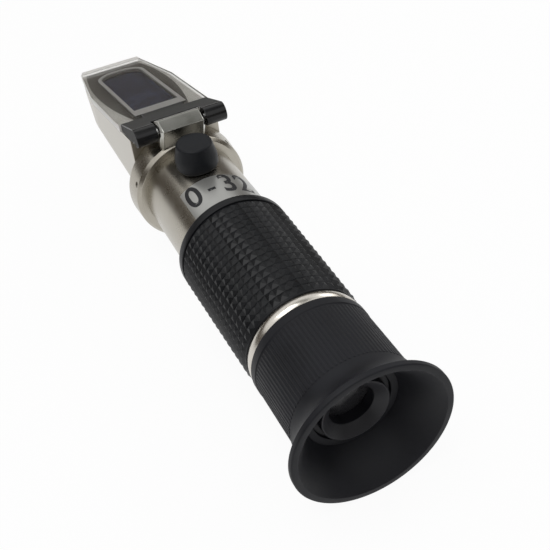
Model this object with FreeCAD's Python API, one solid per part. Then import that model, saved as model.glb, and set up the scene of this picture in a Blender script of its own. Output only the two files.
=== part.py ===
import FreeCAD, Part
import math
import os
from FreeCAD import Vector

# Handheld refractometer, millimetres.
# The optical axis runs along +Y from the eyecup to the prism box, and +Z is up through the
# calibration cap. Every piece is drawn with stations measured forward from the eyecup rim and
# heights measured from the optical axis, then all are moved together when they are written.

# Lengths along the axis
eyecup_length = 26.8
focus_gap = 0.3
bead_length = 2.7
grip_length = 37.8
bare_tube_length = 28.0
collar_length = 6.9
box_length = 62.0
plate_overhang = 1.0

# Eyecup
rim_d = 36.2
rim_land = 1.5
rim_edge = 1.2
flare_length = 7.9
flare_neck_d = 28.7
rib_zone_d = 28.0
flute_count = 60
flute_depth = 0.15
flute_mouth = 0.66
lip_band_length = 2.4
lip_band_d = 28.4
cup_depth = 8.8
cup_floor_d = 21.0
cup_floor_t = 1.5

# Eyepiece barrel
barrel_d = 25.2
barrel_end_wall = 1.5
hub_d = 15.6
hub_rise = 3.1
hub_mouth_d = 12.4
eye_hole_d = 10.2
hub_moat = 1.1
spigot_d = 21.0
spigot_length = 12.7
barrel_bore_d = 18.0
running_gap = 0.08

# Eyepiece lenses
stack_gap = 0.1
spacer_skirt = 0.6
lens_ledge = 0.9
lens_edge = 1.6
lens_rise = 2.0
spacer_length = 12.0
retainer_length = 2.0

# Body tube, rear bush and grip
tube_d = 25.4
tube_wall = 1.0
tube_end_in_collar = 2.9
bead_d = 27.8
bead_crown = 0.45
bush_length = 12.3
grip_d = 29.5
grip_rear_d = 28.5
grip_edge = 0.4
grip_band = 2.5
grip_columns = 45
grip_groove = 0.42
grip_groove_mouth = 1.8
grip_ring_w = 0.35
grip_ring_depth = 0.4

# Reticle
reticle_gap = 0.5
reticle_ring_length = 4.0
reticle_wall = 1.9
reticle_t = 1.5
reticle_shoulder = 1.0
reticle_ledge = 1.2

# Calibration screw, its boss and cap
cal_from_collar = 8.5
boss_d = 7.2
boss_top = 17.0
boss_spigot_d = 5.8
counterbore_d = 4.6
counterbore_depth = 2.6
screw_head_d = 4.4
screw_head_t = 1.35
screw_shank_d = 2.4
screw_tip = 6.9
screw_gap = 0.05
screw_slot_w = 0.6
screw_slot_depth = 0.7
screw_ring_t = 0.7
screw_ring_bore_d = 2.8
cap_d = 10.8
cap_top_d = 9.2
cap_top = 19.4
cap_shoulder = 15.5
cap_foot = 12.4
cap_foot_edge = 0.5
cap_edge = 0.6
cap_dish = 0.4
cap_gap = 0.3

# Objective and its temperature compensation
guide_length = 6.4
slider_length = 5.0
slider_w = 14.2
slider_h = 16.0
slider_corner = 1.9
slider_aperture_d = 11.2
slider_side_gap = 0.1
slider_travel = 0.5
slider_end_gap = 0.1
nut_w = 5.8
nut_rise = 1.2
shoe_w = 8.0
shoe_t = 1.0
shoe_length = 17.3
strip_w = 6.0
strip_t = 0.6
strip_pad = 4.0
strip_slot_gap = 0.4
cell_d = 13.8
cell_bore_d = 9.6
cell_length = 4.8
cell_shoulder = 1.0
ring_lead = 0.1
objective_d = 11.4
objective_edge = 1.4
objective_rise = 0.7
cell_to_baffle = 0.7
baffle_t = 2.0
baffle_bore_d = 13.0

# Collar
collar_rear_d = 30.4
collar_front_d = 31.0
collar_face_d = 28.8
collar_bevel = 0.9
collar_edge = 0.4
collar_seat_d = 28.0
grub_hole_d = 1.5
grub_hole_from_rear = 1.9
grub_hole_count = 3
grub_hole_angle = 158.0

# Prism box
box_w = 24.4
box_tip_w = 19.4
box_parallel = 39.5
box_belly_flat = 24.0
box_nose_drop = 3.4
nose_arc_sag = 1.6
light_bore_d = 14.0
prism_from_box = 14.5
prism_length = 38.5
prism_w = 12.6
prism_corner = 3.0
prism_rear_depth = 5.5
prism_nose_depth = 4.4
prism_nose_undercut = 5.0
seal_t = 0.5
seal_depth = 1.6
seal_recess = 0.2

# Daylight plate
plate_slope = 11.9
plate_height = 18.2
plate_t = 2.0
plate_gap = 0.3
plate_w = 25.4
plate_tip_w = 19.6
plate_tip_corner = 0.7
tongue_w = 22.0
lip_length = 1.6
lip_height = 0.7
frame_rib_w = 1.2
frame_rib_height = 0.35
window_w = 12.6
window_rear = 14.0
window_length = 39.9
window_corner = 3.4
rear_bar = 4.2

# Flap hinge
pin_station = 0.8
pin_height = 19.6
pin_d = 2.0
pin_gap = 0.05
pin_length = 22.4
knuckle_d = 4.8
knuckle_outer_w = 24.4
knuckle_end_gap = 0.4
block_w = 12.4
block_chamfer = 0.8
block_head_r = 2.7
block_overhang = 2.7
block_rear_top = 20.9
block_base = 13.3
block_foot_set = 0.7
notch_r = 3.9
strip_front = 7.1
strip_proud = 0.3
tab_w = 11.8
tab_length = 2.6
tab_root = 4.0

# Stations that follow from the lengths
ring_s = eyecup_length + focus_gap
grip_s = ring_s + bead_length
grip_end_s = grip_s + grip_length
collar_s = grip_end_s + bare_tube_length
box_s = collar_s + collar_length
tip_s = box_s + box_length
overall_length = tip_s + plate_overhang
tube_end_s = collar_s + tube_end_in_collar
tube_bore_d = tube_d - 2 * tube_wall
lens_d = barrel_bore_d - 2 * (stack_gap + spacer_skirt)
spacer_bore_d = lens_d - 2 * lens_ledge
reticle_d = tube_bore_d - 2 * reticle_wall
reticle_view_d = reticle_d - 2 * reticle_ledge
cal_s = collar_s - cal_from_collar
pin_s = collar_s + pin_station
hinge_front_s = box_s + strip_front
prism_s = box_s + prism_from_box
axis_x = Vector(1, 0, 0)
axis_y = Vector(0, 1, 0)
axis_z = Vector(0, 0, 1)
origin = Vector(0, 0, 0)


def wire_of(points, to_vector):
    """Closed wire; a point written as ("arc", middle, end) is reached by an arc."""
    edges = []
    start = points[0]
    last = start
    for item in points[1:] + [start]:
        if item[0] == "arc":
            arc = Part.Arc(to_vector(last), to_vector(item[1]), to_vector(item[2]))
            edges.append(arc.toShape())
            last = item[2]
        elif item != last:
            edges.append(Part.makeLine(to_vector(last), to_vector(item)))
            last = item
    return Part.Wire(edges)


def turned(points):
    """Solid of revolution about the optical axis from (radius, station) points."""
    face = Part.Face(wire_of(points, lambda p: Vector(p[0], p[1], 0)))
    return face.revolve(origin, axis_y, 360)


def turned_up(points, station):
    """Solid of revolution about a vertical axis from (radius, height) points."""
    face = Part.Face(wire_of(points, lambda p: Vector(p[0], station, p[1])))
    return face.revolve(Vector(0, station, 0), axis_z, 360)


def side_slab(points, width):
    """(station, height) outline, carried across the width on both sides of the middle."""
    face = Part.Face(wire_of(points, lambda p: Vector(-width / 2, p[0], p[1])))
    return face.extrude(Vector(width, 0, 0))


def plan_prism(points, low, high):
    """(x, station) outline, carried from the low height to the high one."""
    face = Part.Face(wire_of(points, lambda p: Vector(p[0], p[1], low)))
    return face.extrude(Vector(0, 0, high - low))


def ring(outer_d, inner_d, s0, s1):
    return turned([(inner_d / 2, s0), (outer_d / 2, s0), (outer_d / 2, s1), (inner_d / 2, s1)])


def rod(diameter, s0, s1):
    return Part.makeCylinder(diameter / 2, s1 - s0, Vector(0, s0, 0), axis_y)


def post(diameter, station, low, high):
    return Part.makeCylinder(diameter / 2, high - low, Vector(0, station, low), axis_z)


def cross_rod(diameter, station, height, x0, x1):
    return Part.makeCylinder(diameter / 2, x1 - x0, Vector(x0, station, height), axis_x)


def block(width, s0, s1, low, high):
    return Part.makeBox(width, s1 - s0, high - low, Vector(-width / 2, s0, low))


def polar_cut(body, cutter, count):
    """The cutter taken out of the body at equal steps round the optical axis."""
    copies = []
    for i in range(count):
        copy = cutter.copy()
        copy.rotate(origin, axis_y, 360.0 * i / count)
        copies.append(copy)
    return body.cut(Part.makeCompound(copies))


def v_groove(radius, depth, mouth_w, s0, s1, rise=0):
    """Wedge that cuts a V groove of the given depth and width along a cylinder, or along a
    cone whose radius grows by the rise."""
    over = 0.5
    mouth = mouth_w / 2 * (depth + over) / depth
    points = [(0, radius - depth), (mouth, radius + over), (-mouth, radius + over)]
    face = Part.Face(wire_of(points, lambda p: Vector(p[0], s0, p[1])))
    return face.extrude(Vector(0, s1 - s0, rise))


def plate_z(station, depth):
    """Height of the plane that lies the given depth below the daylight plate's top."""
    slope = math.radians(plate_slope)
    return plate_height - (station - box_s) * math.tan(slope) - depth / math.cos(slope)


def plate_layer(s0, s1, depth0, depth1, width):
    """Slab that follows the plate's slope, between two depths below its top."""
    return side_slab([(s0, plate_z(s0, depth0)), (s1, plate_z(s1, depth0)),
                      (s1, plate_z(s1, depth1)), (s0, plate_z(s0, depth1))], width)


def dome_middle(radius, rise):
    """Half-radius point of a spherical dome's arc, as (radius, height above its edge)."""
    sphere_r = (radius ** 2 + rise ** 2) / (2 * rise)
    return radius / 2, rise - sphere_r + math.sqrt(sphere_r ** 2 - radius ** 2 / 4)


def rounded_front(width, s0, s1, corner):
    """Plan outline with a square rear end and two rounded front corners."""
    h = width / 2
    k = corner * (1 - math.sqrt(0.5))
    return [(-h, s0), (h, s0), (h, s1 - corner),
            ("arc", (h - k, s1 - k), (h - corner, s1)), (-h + corner, s1),
            ("arc", (-h + k, s1 - k), (-h, s1 - corner))]


def eyecup():
    rim_r = rim_d / 2
    neck_r = flare_neck_d / 2
    rib_r = rib_zone_d / 2
    lip_r = lip_band_d / 2
    floor_r = cup_floor_d / 2
    hole_r = hub_d / 2 + hub_moat
    lip_s = eyecup_length - lip_band_length
    mouth_r = rim_r - rim_land
    flare_mid = (neck_r + 0.24 * (rim_r - neck_r), rim_edge + 0.42 * (flare_length - rim_edge))
    bowl_mid = (floor_r + 0.40 * (mouth_r - floor_r), 0.5 * cup_depth)
    cup = turned([
        (mouth_r, 0), (rim_r, 0), (rim_r, rim_edge),
        ("arc", flare_mid, (neck_r, flare_length)),
        (rib_r, flare_length + 0.3), (rib_r, lip_s), (lip_r, lip_s + 0.3), (lip_r, eyecup_length),
        (barrel_d / 2, eyecup_length), (barrel_d / 2, cup_depth + cup_floor_t),
        (hole_r, cup_depth + cup_floor_t), (hole_r, cup_depth), (floor_r, cup_depth),
        ("arc", bowl_mid, (mouth_r, 0))])
    groove = v_groove(rib_r, flute_depth, flute_mouth, flare_length + 1.2, lip_s - 0.8)
    return polar_cut(cup, groove, flute_count)


def eyepiece_barrel():
    wall_s = cup_depth + cup_floor_t
    bore_s = wall_s + barrel_end_wall
    end_s = eyecup_length + spigot_length
    return turned([
        (eye_hole_d / 2, wall_s), (hub_mouth_d / 2, wall_s - hub_rise),
        (hub_d / 2, wall_s - hub_rise), (hub_d / 2, wall_s), (barrel_d / 2, wall_s),
        (barrel_d / 2, eyecup_length), (spigot_d / 2, eyecup_length), (spigot_d / 2, end_s),
        (barrel_bore_d / 2, end_s), (barrel_bore_d / 2, bore_s), (eye_hole_d / 2, bore_s)])


def stack_start():
    return cup_depth + cup_floor_t + barrel_end_wall + stack_gap


def eye_lens():
    s0 = stack_start()
    edge_s = s0 + lens_edge
    dome_r = spacer_bore_d / 2
    middle_r, middle_rise = dome_middle(dome_r, lens_rise)
    return turned([(0, s0), (lens_d / 2, s0), (lens_d / 2, edge_s), (dome_r, edge_s),
                   ("arc", (middle_r, edge_s + middle_rise), (0, edge_s + lens_rise))])


def field_lens():
    s1 = stack_start() + spacer_length
    edge_s = s1 - lens_edge
    dome_r = spacer_bore_d / 2
    middle_r, middle_rise = dome_middle(dome_r, lens_rise)
    return turned([(0, s1), (lens_d / 2, s1), (lens_d / 2, edge_s), (dome_r, edge_s),
                   ("arc", (middle_r, edge_s - middle_rise), (0, edge_s - lens_rise))])


def lens_spacer():
    s0 = stack_start()
    s1 = s0 + spacer_length
    outer_r = barrel_bore_d / 2 - stack_gap
    seat_r = lens_d / 2
    return turned([(seat_r, s0), (outer_r, s0), (outer_r, s1), (seat_r, s1),
                   (seat_r, s1 - lens_edge), (spacer_bore_d / 2, s1 - lens_edge),
                   (spacer_bore_d / 2, s0 + lens_edge), (seat_r, s0 + lens_edge)])


def lens_retainer():
    s0 = stack_start() + spacer_length
    return ring(barrel_bore_d - 2 * stack_gap, spacer_bore_d, s0, s0 + retainer_length)


def rear_bush():
    bore_r = spigot_d / 2 + running_gap
    edge_r = bead_d / 2 - bead_crown
    end_s = grip_s + bush_length
    return turned([
        (bore_r, ring_s), (edge_r, ring_s),
        ("arc", (bead_d / 2, ring_s + bead_length / 2), (edge_r, grip_s)),
        (tube_bore_d / 2, grip_s), (tube_bore_d / 2, end_s), (bore_r, end_s)])


def body_tube():
    tube = ring(tube_d, tube_bore_d, grip_s, tube_end_s)
    return tube.cut(post(boss_spigot_d, cal_s, 0, tube_d))


def grip_sleeve():
    """Rubber sleeve that widens to the front, fluted behind a ring groove and a plain band."""
    front_r = grip_d / 2
    rear_r = grip_rear_d / 2
    ring_s1 = grip_end_s - grip_band
    ring_s0 = ring_s1 - grip_ring_w
    sleeve = turned([
        (tube_d / 2, grip_s), (rear_r - grip_edge, grip_s), (rear_r, grip_s + grip_edge),
        (front_r, ring_s0), (front_r - grip_ring_depth, ring_s0),
        (front_r - grip_ring_depth, ring_s1), (front_r, ring_s1),
        (front_r, grip_end_s - grip_edge), (front_r - grip_edge, grip_end_s),
        (tube_d / 2, grip_end_s)])
    groove = v_groove(rear_r, grip_groove, grip_groove_mouth, grip_s - grip_edge,
                      (ring_s0 + ring_s1) / 2, front_r - rear_r)
    return polar_cut(sleeve, groove, grip_columns)


def reticle_start():
    return grip_s + bush_length + reticle_gap


def reticle_ring():
    s0 = reticle_start()
    seat_s = s0 + reticle_shoulder
    end_s = s0 + reticle_ring_length
    return turned([(reticle_view_d / 2, s0), (tube_bore_d / 2, s0), (tube_bore_d / 2, end_s),
                   (reticle_d / 2, end_s), (reticle_d / 2, seat_s), (reticle_view_d / 2, seat_s)])


def reticle():
    seat_s = reticle_start() + reticle_shoulder
    return rod(reticle_d, seat_s, seat_s + reticle_t)


def reticle_retainer():
    s0 = reticle_start() + reticle_shoulder + reticle_t
    return ring(reticle_d, reticle_view_d, s0, reticle_start() + reticle_ring_length)


def screw_seat():
    return boss_top - counterbore_depth


def calibration_boss():
    outer = post(boss_d, cal_s, 0, boss_top).cut(rod(tube_d, cal_s - boss_d, cal_s + boss_d))
    spigot = post(boss_spigot_d, cal_s, 0, boss_top - 1)
    spigot = spigot.cut(rod(tube_bore_d, cal_s - boss_d, cal_s + boss_d))
    boss = outer.fuse(spigot).removeSplitter()
    boss = boss.cut(post(screw_shank_d + 2 * screw_gap, cal_s, 0, boss_top))
    return boss.cut(post(counterbore_d, cal_s, screw_seat(), boss_top + 1))


def screw_ring():
    s0 = screw_seat() + screw_head_t + 2 * screw_gap
    outer = post(counterbore_d, cal_s, s0, s0 + screw_ring_t)
    return outer.cut(post(screw_ring_bore_d, cal_s, s0 - 1, s0 + screw_ring_t + 1))


def calibration_screw():
    head_z = screw_seat() + screw_gap
    head = post(screw_head_d, cal_s, head_z, head_z + screw_head_t)
    shank = post(screw_shank_d, cal_s, screw_tip, head_z)
    slot = block(screw_head_d + 1, cal_s - screw_slot_w / 2, cal_s + screw_slot_w / 2,
                 head_z + screw_head_t - screw_slot_depth, head_z + screw_head_t + 1)
    return head.fuse(shank).removeSplitter().cut(slot)


def calibration_cap():
    base_r = cap_d / 2
    top_r = cap_top_d / 2
    cavity_r = boss_d / 2 + cap_gap
    ceiling = boss_top + cap_gap
    dish_r = top_r - cap_edge
    cap = turned_up([
        (cavity_r, cap_foot), (base_r - cap_foot_edge, cap_foot), (base_r, cap_foot + 1),
        (base_r, cap_shoulder), (top_r, cap_top - cap_edge),
        ("arc", (top_r - 0.3 * cap_edge, cap_top - 0.3 * cap_edge), (dish_r, cap_top)),
        (0, cap_top - cap_dish), (0, ceiling), (cavity_r, ceiling)], cal_s)
    return cap.cut(rod(tube_d + 2 * cap_gap, cal_s - cap_d, cal_s + cap_d))


def rounded_block(width, height, corner, s0, s1):
    h = width / 2
    v = height / 2
    k = corner * (1 - math.sqrt(0.5))
    points = [(h, -v + corner), (h, v - corner), ("arc", (h - k, v - k), (h - corner, v)),
              (-h + corner, v), ("arc", (-h + k, v - k), (-h, v - corner)), (-h, -v + corner),
              ("arc", (-h + k, -v + k), (-h + corner, -v)), (h - corner, -v),
              ("arc", (h - k, -v + k), (h, -v + corner))]
    face = Part.Face(wire_of(points, lambda p: Vector(p[0], s0, p[1])))
    return face.extrude(Vector(0, s1 - s0, 0))


def objective_guide():
    """Ring pressed in the tube; its window lets the slider move up and down only."""
    s0 = cal_s - guide_length / 2
    s1 = cal_s + guide_length / 2
    play = slider_travel + slider_end_gap
    guide = rod(tube_bore_d, s0, s1)
    window = rounded_block(slider_w + 2 * slider_side_gap, slider_h + 2 * play,
                           slider_corner, s0 - 1, s1 + 1)
    nut_slot = block(nut_w + 2 * slider_side_gap, s0 - 1, s1 + 1, 0,
                     slider_h / 2 + nut_rise + play)
    hole = post(screw_shank_d + 4 * screw_gap, cal_s, 0, tube_bore_d)
    return guide.cut(window).cut(nut_slot).cut(hole)


def strip_under():
    return -slider_h / 2 + shoe_t + strip_t


def objective_slider():
    """Block that the calibration screw raises, with the shoe that carries the strip."""
    s0 = cal_s - slider_length / 2
    s1 = cal_s + slider_length / 2
    body = rounded_block(slider_w, slider_h, slider_corner, s0, s1)
    nut = block(nut_w, s0, s1, slider_h / 2 - 1, slider_h / 2 + nut_rise)
    shoe = block(shoe_w, s0 - shoe_length, s0 + 1, -slider_h / 2, -slider_h / 2 + shoe_t)
    pad = block(strip_w, s0 - shoe_length, s0 - shoe_length + strip_pad,
                -slider_h / 2, strip_under())
    body = body.fuse(nut).fuse(shoe).fuse(pad).removeSplitter()
    body = body.cut(rod(slider_aperture_d, s0 - 1, s1 + 1))
    body = body.cut(block(strip_w + 2 * strip_slot_gap, s0 + 0.01, s1 + 1,
                          -slider_h / 2 + shoe_t, 0))
    body = body.cut(block(strip_w + 2 * strip_slot_gap, s0 - 0.01, s0 + 1,
                          -slider_h / 2 + shoe_t, 0))
    tapped = post(screw_shank_d + 2 * screw_gap, cal_s, 0, slider_h)
    return body.cut(tapped)


def cell_end():
    return tube_end_s - baffle_t - cell_to_baffle


def bimetal_strip():
    s0 = cal_s - slider_length / 2 - shoe_length
    return block(strip_w, s0, cell_end(), strip_under(), strip_under() + strip_t)


def objective_cell():
    s1 = cell_end()
    s0 = s1 - cell_length
    seat_s = s0 + cell_shoulder
    cell = turned([(cell_bore_d / 2, s0), (cell_d / 2, s0), (cell_d / 2, s1),
                   (objective_d / 2, s1), (objective_d / 2, seat_s), (cell_bore_d / 2, seat_s)])
    foot = strip_under() + strip_t
    return cell.cut(block(2 * cell_d, s0 - 1, s1 + 1, -cell_d, foot))


def objective_lens():
    s0 = cell_end() - cell_length + cell_shoulder
    r = objective_d / 2
    s1 = s0 + objective_edge
    middle_r, middle_rise = dome_middle(r, objective_rise)
    return turned([(0, s0), (r, s0), (r, s1),
                   ("arc", (middle_r, s1 + middle_rise), (0, s1 + objective_rise))])


def objective_ring():
    s0 = cell_end() - cell_length + cell_shoulder + objective_edge
    s1 = cell_end()
    inner_r = cell_bore_d / 2
    return turned([(inner_r, s0 + objective_rise), (objective_d / 2, s0 + ring_lead),
                   (objective_d / 2, s1), (inner_r, s1)])


def front_baffle():
    """Stop at the front of the tube, with a coned mouth towards the prism."""
    s0 = tube_end_s - baffle_t
    return turned([(baffle_bore_d / 2 - 0.8, s0), (tube_bore_d / 2, s0),
                   (tube_bore_d / 2, tube_end_s), (baffle_bore_d / 2, tube_end_s)])


def collar_outside():
    """Rear bevel, slightly coned rim and front edge of the collar, from its rear face."""
    return [(collar_face_d / 2, collar_s), (collar_rear_d / 2, collar_s + collar_bevel),
            (collar_front_d / 2, box_s - collar_edge),
            (collar_front_d / 2 - collar_edge, box_s)]


def collar():
    ring_body = turned([(tube_d / 2, collar_s)] + collar_outside() + [
        (collar_seat_d / 2, box_s), (collar_seat_d / 2, tube_end_s), (tube_d / 2, tube_end_s)])
    for i in range(grub_hole_count):
        angle = grub_hole_angle + 360.0 * i / grub_hole_count
        hole = Part.makeCylinder(grub_hole_d / 2, collar_front_d, origin, axis_x)
        hole.rotate(origin, axis_y, -angle)
        hole.translate(Vector(0, collar_s + grub_hole_from_rear, 0))
        ring_body = ring_body.cut(hole.cut(rod(tube_d, collar_s, box_s)))
    return ring_body


def prism_outline(grow):
    return rounded_front(prism_w + 2 * grow, prism_s - grow, prism_s + prism_length + grow,
                         prism_corner + grow)


def prism_profile(grow, top_depth):
    """Side outline of the prism: sloped sample face, upright exit face, slanted base."""
    s0 = prism_s - grow
    s1 = prism_s + prism_length + grow
    nose_z = plate_z(s1, top_depth) - prism_nose_depth
    return [(s0, plate_z(s0, top_depth)), (s1, plate_z(s1, top_depth)), (s1, nose_z),
            (s1 - prism_nose_undercut, nose_z - 1.5), (s0, -prism_rear_depth - grow)]


def top_depth():
    return plate_t + plate_gap


def measuring_prism():
    body = side_slab(prism_profile(0, top_depth()), prism_w)
    return body.common(plan_prism(prism_outline(0), -tube_d, tube_d))


def prism_seal():
    """Black seal round the sample face, just below it."""
    d0 = top_depth() + seal_recess
    d1 = d0 + seal_depth
    s0 = prism_s - 2
    s1 = prism_s + prism_length + 2
    layer = plate_layer(s0, s1, d0, d1, 2 * prism_w)
    outer = plan_prism(prism_outline(seal_t), -tube_d, tube_d)
    inner = plan_prism(prism_outline(0), -tube_d, tube_d)
    return layer.common(outer.cut(inner))


def prism_box():
    """Casting that holds the prism: U section, belly and plan both drawn in to the nose."""
    half = box_w / 2
    tip_half = box_tip_w / 2
    belly_s = box_s + box_belly_flat
    nose_top = plate_z(tip_s, top_depth())
    nose_low = nose_top - box_nose_drop
    belly_mid = ((belly_s + tip_s) / 2, (nose_low - half) / 2 - nose_arc_sag)
    side = side_slab([(box_s, plate_z(box_s, top_depth())), (tip_s, nose_top),
                      (tip_s, nose_low), ("arc", belly_mid, (belly_s, -half)),
                      (box_s, -half)], box_w + 2)
    section = [(half, plate_height), (-half, plate_height), (-half, 0), ("arc", (0, -half), (half, 0))]
    face = Part.Face(wire_of(section, lambda p: Vector(p[0], box_s, p[1])))
    u_bar = face.extrude(Vector(0, box_length, 0))
    taper_s = box_s + box_parallel
    plan = plan_prism([(-half, box_s), (half, box_s), (half, taper_s), (tip_half, tip_s),
                       (-tip_half, tip_s), (-half, taper_s)], -tube_d, tube_d)
    body = side.common(u_bar).common(plan)
    flange = rod(collar_seat_d, tube_end_s, box_s + 0.5)
    keep = u_bar.BoundBox.YMin
    body = body.fuse(flange.cut(block(2 * tube_d, keep, keep + 1, -tube_d, tube_d)))
    body = body.removeSplitter()
    body = body.cut(rod(light_bore_d, tube_end_s - 1, prism_s))
    well = side_slab(prism_profile(0, top_depth()), prism_w)
    well = well.common(plan_prism(prism_outline(0), -tube_d, tube_d))
    body = body.cut(well)
    layer = plate_layer(prism_s - 2, prism_s + prism_length + 2, 0,
                        top_depth() + seal_recess + seal_depth, 2 * prism_w)
    return body.cut(layer.common(plan_prism(prism_outline(seal_t), -tube_d, tube_d)))


def hinge_block():
    """Chromed block on the collar that carries the hinge pin."""
    rear_s = collar_s - block_overhang
    front_s = pin_s + block_head_r
    crown = (pin_s, pin_height + block_head_r)
    k = block_head_r * math.sqrt(0.5)
    outline = [(collar_s + block_foot_set, block_base), (rear_s, block_rear_top), crown,
               ("arc", (pin_s + k, pin_height + k), (front_s, pin_height)),
               (front_s, block_base)]
    body = side_slab(outline, block_w)
    rear_and_top = [e for e in body.Edges
                    if e.BoundBox.XLength < 1e-6 and e.BoundBox.YMax < pin_s + 0.01]
    body = body.makeChamfer(block_chamfer, rear_and_top)
    body = body.cut(turned([(0, collar_s)] + collar_outside() + [(0, box_s)]))
    return body.cut(cross_rod(pin_d, pin_s, pin_height, -block_w, block_w))


def hinge_pin():
    return cross_rod(pin_d, pin_s, pin_height, -pin_length / 2, pin_length / 2)


def plate_outline():
    """Parallel to the box's bend, then drawn in to the tip; the tongue is left off."""
    half = plate_w / 2
    tip = plate_tip_w / 2
    bend_s = box_s + box_parallel
    c = plate_tip_corner
    return [(-half, hinge_front_s), (half, hinge_front_s), (half, bend_s),
            (tip, overall_length - c), (tip - c, overall_length), (-tip + c, overall_length),
            (-tip, overall_length - c), (-half, bend_s)]


def daylight_plate():
    """Clear plate with a tongue in the hinge frame, a raised window rib and a finger lip."""
    rear_s = pin_s + notch_r
    blank = plate_layer(hinge_front_s, overall_length, 0, plate_t, plate_w)
    plate = blank.common(plan_prism(plate_outline(), -tube_d, tube_d))
    tongue = plate_layer(rear_s, hinge_front_s, 0, plate_t, tongue_w)
    w0 = box_s + window_rear
    w1 = w0 + window_length
    rib_layer = plate_layer(w0 - rear_bar, w1 + frame_rib_w, -frame_rib_height, 0.2, plate_w)
    outer = rounded_front(window_w + 2 * frame_rib_w, w0 - rear_bar, w1 + frame_rib_w,
                          window_corner + frame_rib_w)
    inner = rounded_front(window_w, w0, w1, window_corner)
    rib = rib_layer.common(plan_prism(outer, -tube_d, tube_d))
    rib = rib.cut(plan_prism(inner, -tube_d, tube_d))
    lip_s = overall_length - lip_length
    lip = side_slab([(lip_s, plate_z(lip_s, 0.2)), (lip_s, plate_z(lip_s, 0)),
                     (overall_length, plate_z(overall_length, -lip_height)),
                     (overall_length, plate_z(overall_length, 0.2))],
                    plate_tip_w - 2 * plate_tip_corner)
    return plate.fuse(tongue).fuse(rib).fuse(lip).removeSplitter()


def hinge_frame():
    """Black frame on the plate's rear end, with a knuckle on each side of the block."""
    slope = math.radians(plate_slope)
    r = knuckle_d / 2
    front_top = plate_z(hinge_front_s, -strip_proud)
    run = hinge_front_s - pin_s
    drop = pin_height - front_top
    tilt = math.atan2(drop, run) + math.asin(r / math.hypot(run, drop))
    tangent = (pin_s + r * math.sin(tilt), pin_height + r * math.cos(tilt))
    under_s = pin_s + r
    wedge = side_slab([tangent, (hinge_front_s, front_top),
                       (hinge_front_s, plate_z(hinge_front_s, plate_t)),
                       (under_s, plate_z(under_s, plate_t)), (pin_s, pin_height)],
                      knuckle_outer_w)
    knuckles = cross_rod(knuckle_d, pin_s, pin_height, -knuckle_outer_w / 2, knuckle_outer_w / 2)
    body = wedge.fuse(knuckles).removeSplitter()
    notch_w = block_w + 2 * knuckle_end_gap
    body = body.cut(cross_rod(2 * notch_r, pin_s, pin_height, -notch_w / 2, notch_w / 2))
    body = body.cut(block(notch_w, pin_s - notch_r, pin_s + block_head_r + knuckle_end_gap,
                          block_base, pin_height))
    tab = plate_layer(hinge_front_s - tab_root, hinge_front_s + tab_length, -strip_proud, 0, tab_w)
    body = body.fuse(tab).removeSplitter()
    body = body.cut(plate_layer(pin_s + notch_r, hinge_front_s, 0, plate_t + 1, tongue_w))
    return body.cut(cross_rod(pin_d + 2 * pin_gap, pin_s, pin_height,
                              -pin_length / 2 - pin_gap, pin_length / 2 + pin_gap))


pieces = {
    "eyecup": eyecup(),
    "eyepiece_barrel": eyepiece_barrel(),
    "eye_lens": eye_lens(),
    "lens_spacer": lens_spacer(),
    "field_lens": field_lens(),
    "lens_retainer": lens_retainer(),
    "rear_bush": rear_bush(),
    "body_tube": body_tube(),
    "grip_sleeve": grip_sleeve(),
    "reticle_ring": reticle_ring(),
    "reticle": reticle(),
    "reticle_retainer": reticle_retainer(),
    "calibration_boss": calibration_boss(),
    "screw_ring": screw_ring(),
    "calibration_screw": calibration_screw(),
    "calibration_cap": calibration_cap(),
    "objective_guide": objective_guide(),
    "objective_slider": objective_slider(),
    "bimetal_strip": bimetal_strip(),
    "objective_cell": objective_cell(),
    "objective_lens": objective_lens(),
    "objective_ring": objective_ring(),
    "front_baffle": front_baffle(),
    "collar": collar(),
    "prism_box": prism_box(),
    "measuring_prism": measuring_prism(),
    "prism_seal": prism_seal(),
    "hinge_block": hinge_block(),
    "hinge_pin": hinge_pin(),
    "daylight_plate": daylight_plate(),
    "hinge_frame": hinge_frame(),
}

# The origin is under the middle of the length, at the level that the eyecup rim stands on
to_part_frame = Vector(0, -overall_length / 2, rim_d / 2)
os.makedirs("parts", exist_ok=True)
for name, shape in pieces.items():
    shape = shape.copy()
    shape.translate(to_part_frame)
    shape.exportStep("parts/%s.step" % name)
    box = shape.BoundBox
    print("%-18s solids %d  valid %s  volume %8.1f  x %6.2f..%6.2f  y %7.2f..%7.2f  z %6.2f..%6.2f"
          % (name, len(shape.Solids), shape.isValid(), shape.Volume, box.XMin, box.XMax,
             box.YMin, box.YMax, box.ZMin, box.ZMax))
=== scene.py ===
# %% [markdown]
# # Dressing a handheld refractometer
# The instrument reads how much sugar a drop of juice holds. Light falls through a clear plate on
# to a glass prism at the far end, and the eye looks in at the rubber cup at the near end.
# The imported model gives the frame: every piece below sits where that frame says, in metres.

# %% Load the frame
import math

import bmesh
import bpy
from mathutils import Matrix, Vector


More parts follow.
